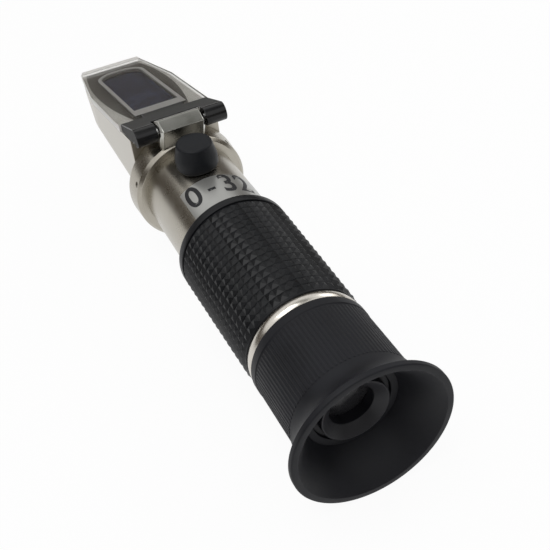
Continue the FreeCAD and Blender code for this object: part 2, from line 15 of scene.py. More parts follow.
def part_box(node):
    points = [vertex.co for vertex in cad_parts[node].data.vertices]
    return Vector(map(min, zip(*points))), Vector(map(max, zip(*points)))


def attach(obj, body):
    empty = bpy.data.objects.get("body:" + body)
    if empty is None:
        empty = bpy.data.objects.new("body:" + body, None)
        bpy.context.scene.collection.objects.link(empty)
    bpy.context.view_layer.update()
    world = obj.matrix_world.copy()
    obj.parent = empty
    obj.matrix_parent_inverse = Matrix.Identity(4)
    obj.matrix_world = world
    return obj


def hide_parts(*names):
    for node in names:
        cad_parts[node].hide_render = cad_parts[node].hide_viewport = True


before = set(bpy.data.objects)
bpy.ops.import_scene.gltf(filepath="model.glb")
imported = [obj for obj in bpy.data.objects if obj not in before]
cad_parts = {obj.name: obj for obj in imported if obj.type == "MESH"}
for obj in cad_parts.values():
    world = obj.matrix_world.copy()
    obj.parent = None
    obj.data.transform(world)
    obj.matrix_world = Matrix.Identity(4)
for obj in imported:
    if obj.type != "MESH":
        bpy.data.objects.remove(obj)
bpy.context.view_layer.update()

# %% [markdown]
# ## Where things are
# Most of the instrument is round about one optical axis, so it is easiest to think of it as a
# lathe does: a radius, and a station measured forward from the eyecup rim, both in millimetres.
# The axis and the rim come from the frame, so nothing has to be fitted by hand.

# %% Stations and radii
MM = 0.001
tube_low, tube_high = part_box("body_tube")
cup_low, cup_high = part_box("eyecup")
AXIS_Z = (tube_low.z + tube_high.z) / 2
RIM_Y = cup_low.y


def station_of(y):
    """Station in millimetres of a place along the frame's Y."""
    return (y - RIM_Y) / MM


def radius_of(node):
    """Radius of a round node in millimetres, the smaller one where its two sides differ."""
    low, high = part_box(node)
    return min(high.x, -low.x) / MM


def radius_near(node, station, reach=0.6):
    """Largest radius of a round node close to a station, in millimetres."""
    return max(math.hypot(v.co.x, v.co.z - AXIS_Z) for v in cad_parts[node].data.vertices
               if abs(station_of(v.co.y) - station) < reach) / MM


GRIP_REAR, GRIP_FRONT = (station_of(p.y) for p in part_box("grip_sleeve"))
COLLAR_REAR, COLLAR_FRONT = (station_of(p.y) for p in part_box("collar"))
CAP_S = station_of(sum(p.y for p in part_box("calibration_cap")) / 2)
print("grip from %.1f to %.1f mm, collar from %.1f to %.1f mm, cap at %.1f mm"
      % (GRIP_REAR, GRIP_FRONT, COLLAR_REAR, COLLAR_FRONT, CAP_S))

# %% [markdown]
# ## The camera
# The picture looks down on the instrument from behind its eyecup and a little to the left, so
# the cup is large and the prism end small. Azimuth, elevation and roll give the camera's three
# axes directly, which is clearer than three Euler angles.

# %% Camera
CAMERA_AT = Vector((-0.05256, -0.17729, 0.15662))
CAMERA_AZIMUTH = math.radians(-20.958)
CAMERA_ELEVATION = math.radians(41.323)
CAMERA_ROLL = math.radians(-7.091)
CAMERA_LENS = 58.51

back = Vector((math.sin(CAMERA_AZIMUTH) * math.cos(CAMERA_ELEVATION),
               -math.cos(CAMERA_AZIMUTH) * math.cos(CAMERA_ELEVATION),
               math.sin(CAMERA_ELEVATION)))
level = Vector((0, 0, 1)).cross(back).normalized()
upright = back.cross(level)
across = math.cos(CAMERA_ROLL) * level + math.sin(CAMERA_ROLL) * upright
upward = math.cos(CAMERA_ROLL) * upright - math.sin(CAMERA_ROLL) * level
camera = bpy.data.objects.new("camera", bpy.data.cameras.new("camera"))
camera.data.lens = CAMERA_LENS
camera.data.clip_start = 0.005
turn = Matrix((across, upward, back)).transposed().to_4x4()
camera.matrix_world = Matrix.Translation(CAMERA_AT) @ turn
bpy.context.scene.collection.objects.link(camera)
bpy.context.scene.camera = camera
print("camera looks along", tuple(round(-c, 3) for c in back))

# %% [markdown]
# ## Studio
# Soft light from above, a pale floor and a white surround, as for a catalogue picture. The world
# is white where the camera, a mirror or a clear piece shows it, and dimmer as a lamp, so that
# colours render about as they are written. The Light Path node tells those rays apart.

# %% World
WORLD_LIGHT = 0.5
scene = bpy.context.scene
scene.view_settings.view_transform = "Standard"


def sight_mask(tree):
    """Socket that is 1 for rays that show a thing straight, in a mirror or through glass."""
    path = tree.nodes.new("ShaderNodeLightPath")
    mask = path.outputs["Is Camera Ray"]
    for ray in ("Is Glossy Ray", "Is Transmission Ray"):
        either = tree.nodes.new("ShaderNodeMath")
        either.operation = "MAXIMUM"
        tree.links.new(mask, either.inputs[0])
        tree.links.new(path.outputs[ray], either.inputs[1])
        mask = either.outputs[0]
    return mask


world = bpy.data.worlds.new("studio")
scene.world = world
world.use_nodes = True
nodes, links = world.node_tree.nodes, world.node_tree.links
nodes.clear()
strength = nodes.new("ShaderNodeMapRange")
links.new(sight_mask(world.node_tree), strength.inputs["Value"])
strength.inputs["To Min"].default_value = WORLD_LIGHT
strength.inputs["To Max"].default_value = 1.0
sky = nodes.new("ShaderNodeBackground")
links.new(strength.outputs["Result"], sky.inputs["Strength"])
sky.inputs["Color"].default_value = (1, 1, 1, 1)
world_out = nodes.new("ShaderNodeOutputWorld")
links.new(sky.outputs["Background"], world_out.inputs["Surface"])
print("world light", WORLD_LIGHT)

# %% [markdown]
# ### Softboxes
# A large square lamp overhead gives the soft top light, and a smaller one on the right opens the
# shadows there. Area lamps suit this: a point lamp would leave hard edges in every shadow.

# %% Lamps
LAMPS_AIM = Vector((0, 0, 0.02))


def area_lamp(name, place, size, watts):
    """Square softbox at a place, turned towards the instrument."""
    data = bpy.data.lights.new(name, "AREA")
    data.size = size
    data.energy = watts
    lamp = bpy.data.objects.new(name, data)
    facing = (LAMPS_AIM - Vector(place)).to_track_quat("-Z", "Y")
    lamp.matrix_world = Matrix.Translation(place) @ facing.to_matrix().to_4x4()
    scene.collection.objects.link(lamp)


area_lamp("softbox_over", (-0.15, -0.05, 0.60), size=0.35, watts=1.5)
area_lamp("softbox_side", (0.45, 0.10, 0.30), size=0.25, watts=0.4)
print(len(bpy.data.lights), "softboxes")

# %% [markdown]
# ### Reflection cards
# Bright metal has no look of its own: it shows what stands round it. A photographer gives it
# shape with dark cards, and so does this scene: a low brownish band all round, as of the far
# walls of a room, and a grey disc overhead. They stand outside the picture and are left out of
# it. The nickel takes its dark bands from them, and the clear plate and the rubber their depth.

# %% Cards
CARD_STEPS = 48


def reflection_card(name, rings, colour):
    """Surface through two rings of (radius, height) round the origin, hidden from the camera."""
    sheet = bmesh.new()
    turns = [2 * math.pi * k / CARD_STEPS for k in range(CARD_STEPS)]
    low, high = [[sheet.verts.new((r * math.cos(a), r * math.sin(a), z)) for a in turns]
                 for r, z in rings]
    for k in range(CARD_STEPS):
        after = (k + 1) % CARD_STEPS
        sheet.faces.new((low[k], low[after], high[after], high[k]))
    data = bpy.data.meshes.new(name)
    sheet.to_mesh(data)
    sheet.free()
    card = bpy.data.objects.new(name, data)
    scene.collection.objects.link(card)
    paint = bpy.data.materials.new(name)
    paint.use_nodes = True
    paint.node_tree.nodes.clear()
    glow = paint.node_tree.nodes.new("ShaderNodeEmission")
    glow.inputs["Color"].default_value = (*colour, 1)
    card_out = paint.node_tree.nodes.new("ShaderNodeOutputMaterial")
    paint.node_tree.links.new(glow.outputs[0], card_out.inputs["Surface"])
    data.materials.append(paint)
    card.visible_camera = card.visible_diffuse = False


reflection_card("horizon_card", [(0.80, 0.0), (0.80, 0.40)], (0.085, 0.070, 0.055))
reflection_card("ceiling_card", [(0.01, 0.75), (0.34, 0.75)], (0.20, 0.20, 0.19))
print("cards: low band and overhead disc")

# %% [markdown]
# ## Shared finishes
# Three effects come back in several materials: the grain of moulded rubber and plastic, the
# faint rings that a lathe leaves, and the uneven tone that handling gives. Each is a small node
# group with its own sizes, so a material only says how strong it is there.

# %% Maker of shader groups


def shader_group(name, inputs, outputs):
    """Empty shader group with float, colour or vector sockets, and its two end nodes."""
    tree = bpy.data.node_groups.new(name, "ShaderNodeTree")
    for label, kind, value in inputs:
        socket = tree.interface.new_socket(label, in_out="INPUT", socket_type=kind)
        if value is not None:
            socket.default_value = value
    for label, kind in outputs:
        tree.interface.new_socket(label, in_out="OUTPUT", socket_type=kind)
    return tree, tree.nodes.new("NodeGroupInput"), tree.nodes.new("NodeGroupOutput")


print("group maker ready")

# %% [markdown]
# ### Moulded grain
# Moulded rubber and plastic carry the fine skin of their mould. A small noise gives the height of
# a bump. A broader one, at a fixed share of its scale, is a mask for haze that varies slowly.

# %% Moulded grain
BROAD_SHARE = 0.06


def grain_group():
    """Fine bumps of a moulded skin: a small noise over a larger one."""
    tree, start, end = shader_group(
        "moulded_grain",
        [("Vector", "NodeSocketVector", None), ("Scale", "NodeSocketFloat", 2500.0)],
        [("Height", "NodeSocketFloat"), ("Mask", "NodeSocketFloat")])
    fine = tree.nodes.new("ShaderNodeTexNoise")
    fine.inputs["Detail"].default_value = 4
    broad = tree.nodes.new("ShaderNodeTexNoise")
    broad.inputs["Detail"].default_value = 3
    shrink = tree.nodes.new("ShaderNodeMath")
    shrink.operation = "MULTIPLY"
    shrink.inputs[1].default_value = BROAD_SHARE
    tree.links.new(start.outputs["Scale"], shrink.inputs[0])
    tree.links.new(start.outputs["Scale"], fine.inputs["Scale"])
    tree.links.new(shrink.outputs[0], broad.inputs["Scale"])
    for noise in (fine, broad):
        tree.links.new(start.outputs["Vector"], noise.inputs["Vector"])
    tree.links.new(fine.outputs["Fac"], end.inputs["Height"])
    tree.links.new(broad.outputs["Fac"], end.inputs["Mask"])
    return tree


GRAIN = grain_group()
print("group:", GRAIN.name)

# %% [markdown]
# ### Turned rings
# A turning tool leaves fine rings round the axis. Noise that is stretched out in the two other
# directions changes along the axis alone, which is just what such rings do.

# %% Turned rings
RING_STRETCH = (0.02, 1.0, 0.02)


def lathe_group():
    """Rings left by a turning tool: noise that changes along the axis alone."""
    tree, start, end = shader_group(
        "turned_rings",
        [("Vector", "NodeSocketVector", None), ("Scale", "NodeSocketFloat", 900.0)],
        [("Height", "NodeSocketFloat")])
    squeeze = tree.nodes.new("ShaderNodeVectorMath")
    squeeze.operation = "MULTIPLY"
    squeeze.inputs[1].default_value = RING_STRETCH
    noise = tree.nodes.new("ShaderNodeTexNoise")
    noise.inputs["Detail"].default_value = 3
    tree.links.new(start.outputs["Vector"], squeeze.inputs[0])
    tree.links.new(squeeze.outputs[0], noise.inputs["Vector"])
    tree.links.new(start.outputs["Scale"], noise.inputs["Scale"])
    tree.links.new(noise.outputs["Fac"], end.inputs["Height"])
    return tree


RINGS = lathe_group()
print("group:", RINGS.name)

# %% [markdown]
# ### Uneven tone
# Nothing that is handled stays one even colour. Two near tones are mixed in soft patches, and
# the same patches come out as a mask, so that a material can let its roughness follow them.

# %% Uneven tone
PATCH_FROM, PATCH_TO = 0.3, 0.7
COLOUR_A, COLOUR_B, COLOUR_OUT = 6, 7, 2


def tone_group():
    """Two tones of one finish, mixed in soft patches."""
    tree, start, end = shader_group(
        "uneven_tone",
        [("Vector", "NodeSocketVector", None), ("Scale", "NodeSocketFloat", 60.0),
         ("Dark", "NodeSocketColor", None), ("Light", "NodeSocketColor", None)],
        [("Color", "NodeSocketColor"), ("Mask", "NodeSocketFloat")])
    noise = tree.nodes.new("ShaderNodeTexNoise")
    noise.inputs["Detail"].default_value = 5
    noise.inputs["Roughness"].default_value = 0.6
    ease = tree.nodes.new("ShaderNodeMapRange")
    ease.interpolation_type = "SMOOTHSTEP"
    ease.inputs["From Min"].default_value = PATCH_FROM
    ease.inputs["From Max"].default_value = PATCH_TO
    mix = tree.nodes.new("ShaderNodeMix")
    mix.data_type = "RGBA"
    tree.links.new(start.outputs["Vector"], noise.inputs["Vector"])
    tree.links.new(start.outputs["Scale"], noise.inputs["Scale"])
    tree.links.new(noise.outputs["Fac"], ease.inputs["Value"])
    tree.links.new(ease.outputs["Result"], mix.inputs["Factor"])
    tree.links.new(start.outputs["Dark"], mix.inputs[COLOUR_A])
    tree.links.new(start.outputs["Light"], mix.inputs[COLOUR_B])
    tree.links.new(mix.outputs[COLOUR_OUT], end.inputs["Color"])
    tree.links.new(ease.outputs["Result"], end.inputs["Mask"])
    return tree


TONE = tone_group()
print("group:", TONE.name)

# %% [markdown]
# ## Materials
# Every material starts in the same way: object coordinates go through the tone group to the
# base colour, the same patches move the roughness a little, and grain or rings give a bump.
# What makes each one different is set on the shader's own sockets.

# %% One maker for all opaque finishes
BUMP_DEPTH = 0.02


def finish(name, dark, light, rough, metallic=0.0, tone_scale=60.0, grain=None, rings=None,
           bump=0.2, shine=0.5):
    """Principled material with patches of two tones and a bump of grain or turned rings."""
    material = bpy.data.materials.new(name)
    material.use_nodes = True
    nodes, links = material.node_tree.nodes, material.node_tree.links
    shader = nodes["Principled BSDF"]
    place = nodes.new("ShaderNodeTexCoord")
    tone = nodes.new("ShaderNodeGroup")
    tone.node_tree = TONE
    tone.inputs["Scale"].default_value = tone_scale
    tone.inputs["Dark"].default_value = (*dark, 1)
    tone.inputs["Light"].default_value = (*light, 1)
    links.new(place.outputs["Object"], tone.inputs["Vector"])
    links.new(tone.outputs["Color"], shader.inputs["Base Color"])
    spread = nodes.new("ShaderNodeMapRange")
    spread.inputs["To Min"].default_value = rough[0]
    spread.inputs["To Max"].default_value = rough[1]
    links.new(tone.outputs["Mask"], spread.inputs["Value"])
    links.new(spread.outputs["Result"], shader.inputs["Roughness"])
    shader.inputs["Metallic"].default_value = metallic
    shader.inputs["Specular IOR Level"].default_value = shine
    if grain or rings:
        relief = nodes.new("ShaderNodeGroup")
        relief.node_tree = GRAIN if grain else RINGS
        relief.inputs["Scale"].default_value = grain or rings
        links.new(place.outputs["Object"], relief.inputs["Vector"])
        dent = nodes.new("ShaderNodeBump")
        dent.inputs["Strength"].default_value = bump
        dent.inputs["Distance"].default_value = BUMP_DEPTH * MM
        links.new(relief.outputs["Height"], dent.inputs["Height"])
        links.new(dent.outputs["Normal"], shader.inputs["Normal"])
    return material


print("bumps are", BUMP_DEPTH, "mm deep")

# %% [markdown]
# ### Nickel
# The tube, the collar and the housing are nickel plated and finely brushed round, which leaves
# soft rings. The bead behind the grip has the same plate with a higher polish.

# %% Nickel finishes
SATIN = finish("satin_nickel", (0.38, 0.355, 0.305), (0.45, 0.43, 0.38), (0.26, 0.32), 1.0,
               tone_scale=45, rings=1500, bump=0.04)
BRIGHT = finish("bright_nickel", (0.56, 0.53, 0.48), (0.64, 0.61, 0.56), (0.24, 0.30), 1.0,
                tone_scale=80, rings=900, bump=0.06)
print("nickel:", SATIN.name, BRIGHT.name)

# %% [markdown]
# ### Rubber and black parts
# The three rubbers differ little in colour and more in gloss: the grip is handled most and
# shines, the cup is dull. The hinge frame is moulded plastic, glossy on its round knuckles and
# matt on its broad flat faces, so it gets two finishes.

# %% Rubber and black finishes
CUP_RUBBER = finish("cup_rubber", (0.0055, 0.0058, 0.0080), (0.0095, 0.0100, 0.0130),
                    (0.46, 0.58), tone_scale=120, grain=2600, bump=0.3, shine=0.22)
GRIP_RUBBER = finish("grip_rubber", (0.004, 0.0045, 0.0055), (0.008, 0.0085, 0.010), (0.34, 0.44),
                     tone_scale=150, grain=3500, bump=0.15, shine=0.20)
CAP_RUBBER = finish("cap_rubber", (0.005, 0.006, 0.008), (0.009, 0.010, 0.012), (0.42, 0.54),
                    tone_scale=200, grain=3000, bump=0.3, shine=0.18)
BARREL_BLACK = finish("barrel_black", (0.008, 0.008, 0.011), (0.012, 0.012, 0.015), (0.40, 0.5),
                      tone_scale=150, grain=3500, bump=0.2, shine=0.35)
FRAME_BLACK = finish("frame_black", (0.008, 0.008, 0.009), (0.012, 0.012, 0.012), (0.16, 0.24),
                     tone_scale=180, grain=2200, bump=0.04, shine=0.30)
FRAME_MATT = finish("frame_matt", (0.032, 0.032, 0.031), (0.042, 0.042, 0.040), (0.58, 0.66),
                    tone_scale=180, grain=2200, bump=0.10, shine=0.12)
INNER_BLACK = finish("inner_black", (0.008, 0.008, 0.008), (0.013, 0.013, 0.013), (0.6, 0.7),
                     tone_scale=200, rings=1200, bump=0.3)
SEAL_BLACK = finish("seal_black", (0.010, 0.010, 0.010), (0.016, 0.016, 0.016), (0.5, 0.6),
                    tone_scale=300, grain=3000)
print("rubber and black:", CUP_RUBBER.name, GRIP_RUBBER.name, CAP_RUBBER.name, FRAME_BLACK.name)

# %% [markdown]
# ### Brass, steel and chrome
# Brass under the cap and in the calibration train, steel for the pin and the screws, and a strip
# of two metals whose tones differ. The hinge block is chromed, and a darker chrome on its rear
# face is painted shade.

# %% Brass, steel and chrome finishes
BRASS = finish("plain_brass", (0.60, 0.42, 0.17), (0.72, 0.53, 0.25), (0.25, 0.35), 1.0,
               rings=1300)
PIN_STEEL = finish("pin_steel", (0.50, 0.50, 0.50), (0.60, 0.60, 0.60), (0.2, 0.28), 1.0,
                   rings=1300)
STRIP_METAL = finish("bimetal", (0.52, 0.50, 0.47), (0.66, 0.58, 0.45), (0.28, 0.36), 1.0,
                     grain=1800)
CHROME = finish("hinge_chrome", (0.40, 0.40, 0.37), (0.47, 0.47, 0.44), (0.14, 0.20), 1.0,
                tone_scale=90, grain=1400, bump=0.03)
# A darker copy of the chrome for the block's rear faces: painted shade, not wear.
CHROME_PAINTED_SHADE = finish("hinge_chrome_painted_shade", (0.10, 0.10, 0.095), (0.20, 0.20, 0.19),
                     (0.20, 0.30), 1.0, tone_scale=120, grain=1400, bump=0.05)
print("metals:", BRASS.name, PIN_STEEL.name, STRIP_METAL.name, CHROME.name, CHROME_PAINTED_SHADE.name)

# %% [markdown]
# ### Painted shade round the prism, label and numbers
# The dark skin round the prism is painted shade and reflection, and the pale rim beside it is
# painted light. The label is a foil, so it keeps a metal's reflections, and its numbers are a
# printed black.

# %% Bed and label finishes
# Painted shade: the dark skin round the window stands in for shade and the plate's dark
# reflection.
BED_PAINTED_SHADE = finish("bed_painted_shade", (0.115, 0.117, 0.118), (0.150, 0.152, 0.150), (0.4, 0.5),
                  tone_scale=70, grain=1500, bump=0.1, shine=0.3)
# Painted light: the pale rim stands in for the lit housing under the plate.
BED_PAINTED_LIGHT = finish("bed_painted_light", (0.66, 0.65, 0.63), (0.84, 0.83, 0.81), (0.4, 0.5),
                   tone_scale=40, grain=1500, bump=0.1, shine=0.3)
LABEL_GREY = finish("label_grey", (0.36, 0.36, 0.345), (0.42, 0.42, 0.40), (0.26, 0.32), 0.7,
                    tone_scale=60, grain=1500, bump=0.05)
NUMERAL_BLACK = finish("numeral_black", (0.010, 0.010, 0.012), (0.014, 0.014, 0.016), (0.4, 0.5),
                       tone_scale=200, grain=2500, bump=0.05, shine=0.3)
print("bed and label:", BED_PAINTED_SHADE.name, BED_PAINTED_LIGHT.name, LABEL_GREY.name, NUMERAL_BLACK.name)

# %% [markdown]
# ## Glass and clear plastic
# The daylight plate is clear acrylic with a slight smoky tint, and its sawn edges and the rib
# are frosted. Clear pieces keep a plain transmission weight, and only the haze on the surface
# changes from place to place. The prism and the eye lens are glass over a black inside, so what
# shows is their dark tone and their polish: an opaque finish gives that with less noise.

# %% Clear materials
ACRYLIC_IOR, GLASS_IOR = 1.49, 1.52
HAZE_SCALE = 1600


def clear(name, colour, rough, refraction=ACRYLIC_IOR, haze=0.0, through=1.0):
    """Transmissive material whose surface haze varies with the grain mask."""
    material = bpy.data.materials.new(name)
    material.use_nodes = True
    nodes, links = material.node_tree.nodes, material.node_tree.links
    shader = nodes["Principled BSDF"]
    shader.inputs["Base Color"].default_value = (*colour, 1)
    shader.inputs["Transmission Weight"].default_value = through
    shader.inputs["IOR"].default_value = refraction
    place = nodes.new("ShaderNodeTexCoord")
    relief = nodes.new("ShaderNodeGroup")
    relief.node_tree = GRAIN
    relief.inputs["Scale"].default_value = HAZE_SCALE
    links.new(place.outputs["Object"], relief.inputs["Vector"])
    spread = nodes.new("ShaderNodeMapRange")
    spread.inputs["To Min"].default_value = rough
    spread.inputs["To Max"].default_value = rough + haze
    links.new(relief.outputs["Mask"], spread.inputs["Value"])
    links.new(spread.outputs["Result"], shader.inputs["Roughness"])
    return material


PLATE_CLEAR = clear("plate_acrylic", (0.93, 0.93, 0.91), 0.02, haze=0.05)
PLATE_FROST = clear("plate_frosted", (0.80, 0.78, 0.75), 0.35, haze=0.15, through=0.35)
RIB_FROST = clear("rib_frosted", (0.40, 0.39, 0.37), 0.30, haze=0.15, through=0.45)
LENS_GLASS = clear("lens_glass", (0.90, 0.93, 0.92), 0.0, GLASS_IOR)
EYE_GLASS = finish("eye_glass", (0.018, 0.018, 0.020), (0.026, 0.026, 0.028), (0.10, 0.18),
                   tone_scale=300, grain=1800, bump=0.03)
PRISM_GLASS = finish("prism_glass", (0.044, 0.062, 0.118), (0.060, 0.080, 0.145), (0.06, 0.10),
                     tone_scale=70, grain=900, bump=0.03)
print("clear:", PLATE_CLEAR.name, PLATE_FROST.name, RIB_FROST.name, LENS_GLASS.name)
print("dark glass:", EYE_GLASS.name, PRISM_GLASS.name)

# %% [markdown]
# ## Turned pieces
# The cup, the bead, the tube and the collar are all bodies of revolution, so one helper spins
# a half section round the axis. The section's corners may carry a fillet, because no real edge
# is knife sharp, and that small arc is what catches the light.

# %% Section helpers
FILLET_STEPS = 4


def softened(outline):
    """Closed outline of (x, y, fillet) corners, with an arc in place of each filleted corner."""
    points = []
    for i, (x, y, fillet) in enumerate(outline):
        corner = Vector((x, y))
        if not fillet:
            points.append(corner)
            continue
        to_last = (Vector(outline[i - 1][:2]) - corner).normalized()
        to_next = (Vector(outline[(i + 1) % len(outline)][:2]) - corner).normalized()
        half = to_last.angle(to_next) / 2
        centre = corner + (to_last + to_next).normalized() * fillet / math.sin(half)
        first = corner + to_last * fillet / math.tan(half) - centre
        last = corner + to_next * fillet / math.tan(half) - centre
        swing = first.angle_signed(last)
        for k in range(FILLET_STEPS + 1):
            points.append(centre + Matrix.Rotation(-swing * k / FILLET_STEPS, 2) @ first)
    return points


def arc_between(start, middle, end, steps):
    """Points on the circle through three points, from the start to the end."""
    (ax, ay), (bx, by), (cx, cy) = start, middle, end
    d = 2 * (ax * (by - cy) + bx * (cy - ay) + cx * (ay - by))
    ux = ((ax**2 + ay**2) * (by - cy) + (bx**2 + by**2) * (cy - ay)
          + (cx**2 + cy**2) * (ay - by)) / d
    uy = ((ax**2 + ay**2) * (cx - bx) + (bx**2 + by**2) * (ax - cx)
          + (cx**2 + cy**2) * (bx - ax)) / d
    centre = Vector((ux, uy))
    first = Vector(start) - centre
    part = first.angle_signed(Vector(middle) - centre)
    whole = part + (Vector(middle) - centre).angle_signed(Vector(end) - centre)
    return [tuple(centre + Matrix.Rotation(-whole * k / steps, 2) @ first)
            for k in range(steps + 1)]


print("fillets have", FILLET_STEPS, "steps")

# %% [markdown]
# ### From a mesh to an object
# Every piece made here ends in the same way: points in one place are joined, the normals are
# made to face outwards, and only edges over a sharp angle show as edges.

# %% Mesh to object
SHARP_EDGE = 35
JOIN, SPECK = 1e-6, 1e-7


def mesh_object(name, mesh_of, sharp=SHARP_EDGE):
    """Object at the origin from a filled bmesh, smooth apart from edges over the sharp angle."""
    bmesh.ops.remove_doubles(mesh_of, verts=mesh_of.verts, dist=JOIN)
    bmesh.ops.recalc_face_normals(mesh_of, faces=mesh_of.faces)
    data = bpy.data.meshes.new(name)
    mesh_of.to_mesh(data)
    mesh_of.free()
    data.shade_smooth()
    data.set_sharp_from_angle(angle=math.radians(sharp))
    piece = bpy.data.objects.new(name, data)
    scene.collection.objects.link(piece)
    return piece


print("edges over", SHARP_EDGE, "degrees show as edges")

# %% [markdown]
# ### From a section to a solid
# The section is set round the axis in many equal steps and each step is joined to the next. A
# lathe does the same with one pass of the tool. Blender's Spin could do it too, but it can turn
# a closed shape inside out, so the faces are made one by one and their normals recalculated.

# %% Lathe helper
TURNED_STEPS = 192
AT_AXIS = 1e-6


def on_axis(radius, angle, station):
    """Place at a radius, an angle from the top and a station along the optical axis."""
    return Vector((radius * math.sin(angle) * MM, RIM_Y + station * MM,
                   AXIS_Z + radius * math.cos(angle) * MM))


def turned(name, outline):
    """Closed half section of (radius, station) corners, spun round the optical axis."""
    section = softened([(*p, 0) if len(p) == 2 else p for p in outline])
    spun = bmesh.new()
    rings = []
    for k in range(TURNED_STEPS):
        a = 2 * math.pi * k / TURNED_STEPS
        rings.append([spun.verts.new(on_axis(r, a, along)) for r, along in section])
    for k in range(TURNED_STEPS):
        here, there = rings[k], rings[(k + 1) % TURNED_STEPS]
        for i in range(len(section)):
            j = (i + 1) % len(section)
            if section[i][0] > AT_AXIS or section[j][0] > AT_AXIS:
                spun.faces.new((here[i], here[j], there[j], there[i]))
    bmesh.ops.dissolve_degenerate(spun, edges=spun.edges, dist=SPECK)
    return mesh_object(name, spun)


print("round pieces are turned in", TURNED_STEPS, "steps")

# %% [markdown]
# ### Settling a piece
# A finished piece is given its material and the body that carries it, and the nodes of the frame
# that it stands for are hidden. What leaves Blender is a plain mesh, so modifiers are applied.

# %% Settling helpers


def settle(piece, body, slot, material, *nodes):
    """Gives a finished piece its material and its body, and hides the nodes it stands for; slot is
    not used.
    """
    piece.data.materials.clear()
    piece.data.materials.append(material)
    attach(piece, body)
    if nodes:
        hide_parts(*nodes)
    print("%-22s %6d faces on %s" % (piece.name, len(piece.data.polygons), body))


def second_finish(piece, material, belongs):
    """Adds a material for the faces of which belongs(face) is true."""
    piece.data.materials.append(material)
    for face in piece.data.polygons:
        face.material_index = 1 if belongs(face) else 0


def evaluated_mesh(piece):
    """New mesh of what a piece is with its modifiers, or of a text."""
    bpy.context.view_layer.update()
    depsgraph = bpy.context.evaluated_depsgraph_get()
    return bpy.data.meshes.new_from_object(piece.evaluated_get(depsgraph))


def apply_modifiers(piece):
    """Gives a piece the mesh that its modifiers make, and takes them off."""
    done = evaluated_mesh(piece)
    piece.modifiers.clear()
    piece.data = done
    done.name = piece.name


print("settling helpers ready")

# %% [markdown]
# ## Eyecup
# A soft rubber cup that folds against the eye. Its rim is flared, a narrow band marks where it
# grips the eyepiece, and between them fine flutes run along it so that a thumb can turn it to
# focus. It is moulded in one piece, so the section is one closed outline.

# %% Eyecup body
RIM_R, RIM_T = radius_of("eyecup"), 1.2
CUP_END = station_of(cup_high.y)
SLEEVE_R, SLEEVE_STEP = 14.0, 0.25
BAND_R, BAND_S = 14.2, CUP_END - 2.4
FLARE_NECK_R, FLARE_S = 14.35, 7.9
CUP_MOUTH_R = RIM_R - 1.5
CUP_FLOOR_R, CUP_FLOOR_S, CUP_FLOOR_T = 10.5, 8.8, 1.5
CUP_BORE_R, CUP_HOLE_R = 12.6, 8.9
FLARE_SAG, FLARE_SHARE = 0.24, 0.42
BOWL_SAG, BOWL_SHARE = 0.40, 0.5

flare_middle = (FLARE_NECK_R + FLARE_SAG * (RIM_R - FLARE_NECK_R),
                RIM_T + FLARE_SHARE * (FLARE_S - RIM_T))
bowl_middle = (CUP_FLOOR_R + BOWL_SAG * (CUP_MOUTH_R - CUP_FLOOR_R), BOWL_SHARE * CUP_FLOOR_S)
outside = arc_between((RIM_R, RIM_T), flare_middle, (FLARE_NECK_R, FLARE_S), 14)
bowl = arc_between((CUP_FLOOR_R, CUP_FLOOR_S), bowl_middle, (CUP_MOUTH_R - 0.15, 0.15), 16)
eyecup = turned(
    "eyecup_body",
    [(CUP_MOUTH_R, 0.0, 0.12), (RIM_R, 0.0, 0.35)] + outside
    + [(SLEEVE_R, FLARE_S + SLEEVE_STEP), (SLEEVE_R, BAND_S), (BAND_R, BAND_S + SLEEVE_STEP),
       (BAND_R, CUP_END, 0.3), (CUP_BORE_R, CUP_END), (CUP_BORE_R, CUP_FLOOR_S + CUP_FLOOR_T),
       (CUP_HOLE_R, CUP_FLOOR_S + CUP_FLOOR_T, 0.1), (CUP_HOLE_R, CUP_FLOOR_S, 0.25)] + bowl)
settle(eyecup, "eyepiece", "cup_rubber", CUP_RUBBER, "eyecup")

# %% [markdown]
# ## Flutes and the grip's pyramids
# Both are the same idea: one small shape set at equal steps round the axis. Geometry Nodes fit
# that well. Points are placed by their index, a shape is copied to each, and the tree ends
# with real faces and a material, so that the piece can leave Blender as a plain mesh.

# %% Geometry Nodes helpers


def geometry_tree(name, inputs):
    """Empty geometry tree with named inputs; returns the tree, a node maker and a linker."""
    tree = bpy.data.node_groups.new(name, "GeometryNodeTree")
    for label, kind in inputs:
        tree.interface.new_socket(label, in_out="INPUT", socket_type=kind)
    tree.interface.new_socket("Geometry", in_out="OUTPUT", socket_type="NodeSocketGeometry")

    def add(kind, **settings):
        node = tree.nodes.new(kind)
        for key, value in settings.items():
            setattr(node, key, value)
        return node

    return tree, add, tree.links.new


def calculate(add, link, operation, first, second):
    """Math node on two sockets or numbers."""
    node = add("ShaderNodeMath", operation=operation)
    for socket, value in zip(node.inputs, (first, second)):
        if isinstance(value, (int, float)):
            socket.default_value = value
        else:
            link(value, socket)
    return node.outputs[0]


def grown(name, tree, values, material):
    """Runs a geometry tree with its inputs set and returns the result as a plain object."""
    seed_mesh = bpy.data.meshes.new(name + "_seed")
    piece = bpy.data.objects.new(name, seed_mesh)
    scene.collection.objects.link(piece)
    modifier = piece.modifiers.new("grown", "NODES")
    modifier.node_group = tree
    for item in tree.interface.items_tree:
        if item.in_out == "INPUT" and item.name in values:
            modifier[item.identifier] = values[item.name]
        if item.in_out == "INPUT" and item.name == "Material":
            modifier[item.identifier] = material
    apply_modifiers(piece)
    return piece


print("Geometry Nodes helpers ready")

# %% [markdown]
# ### One pattern for three pieces
# The flutes, the pyramids and the grub screws differ only in the shape that is copied. So one
# tree is written, with the numbers of rows and columns, the radius and the steps as its inputs,
# and a function that adds the nodes of the shape.

# %% Pattern round the axis
FLOAT = "NodeSocketFloat"


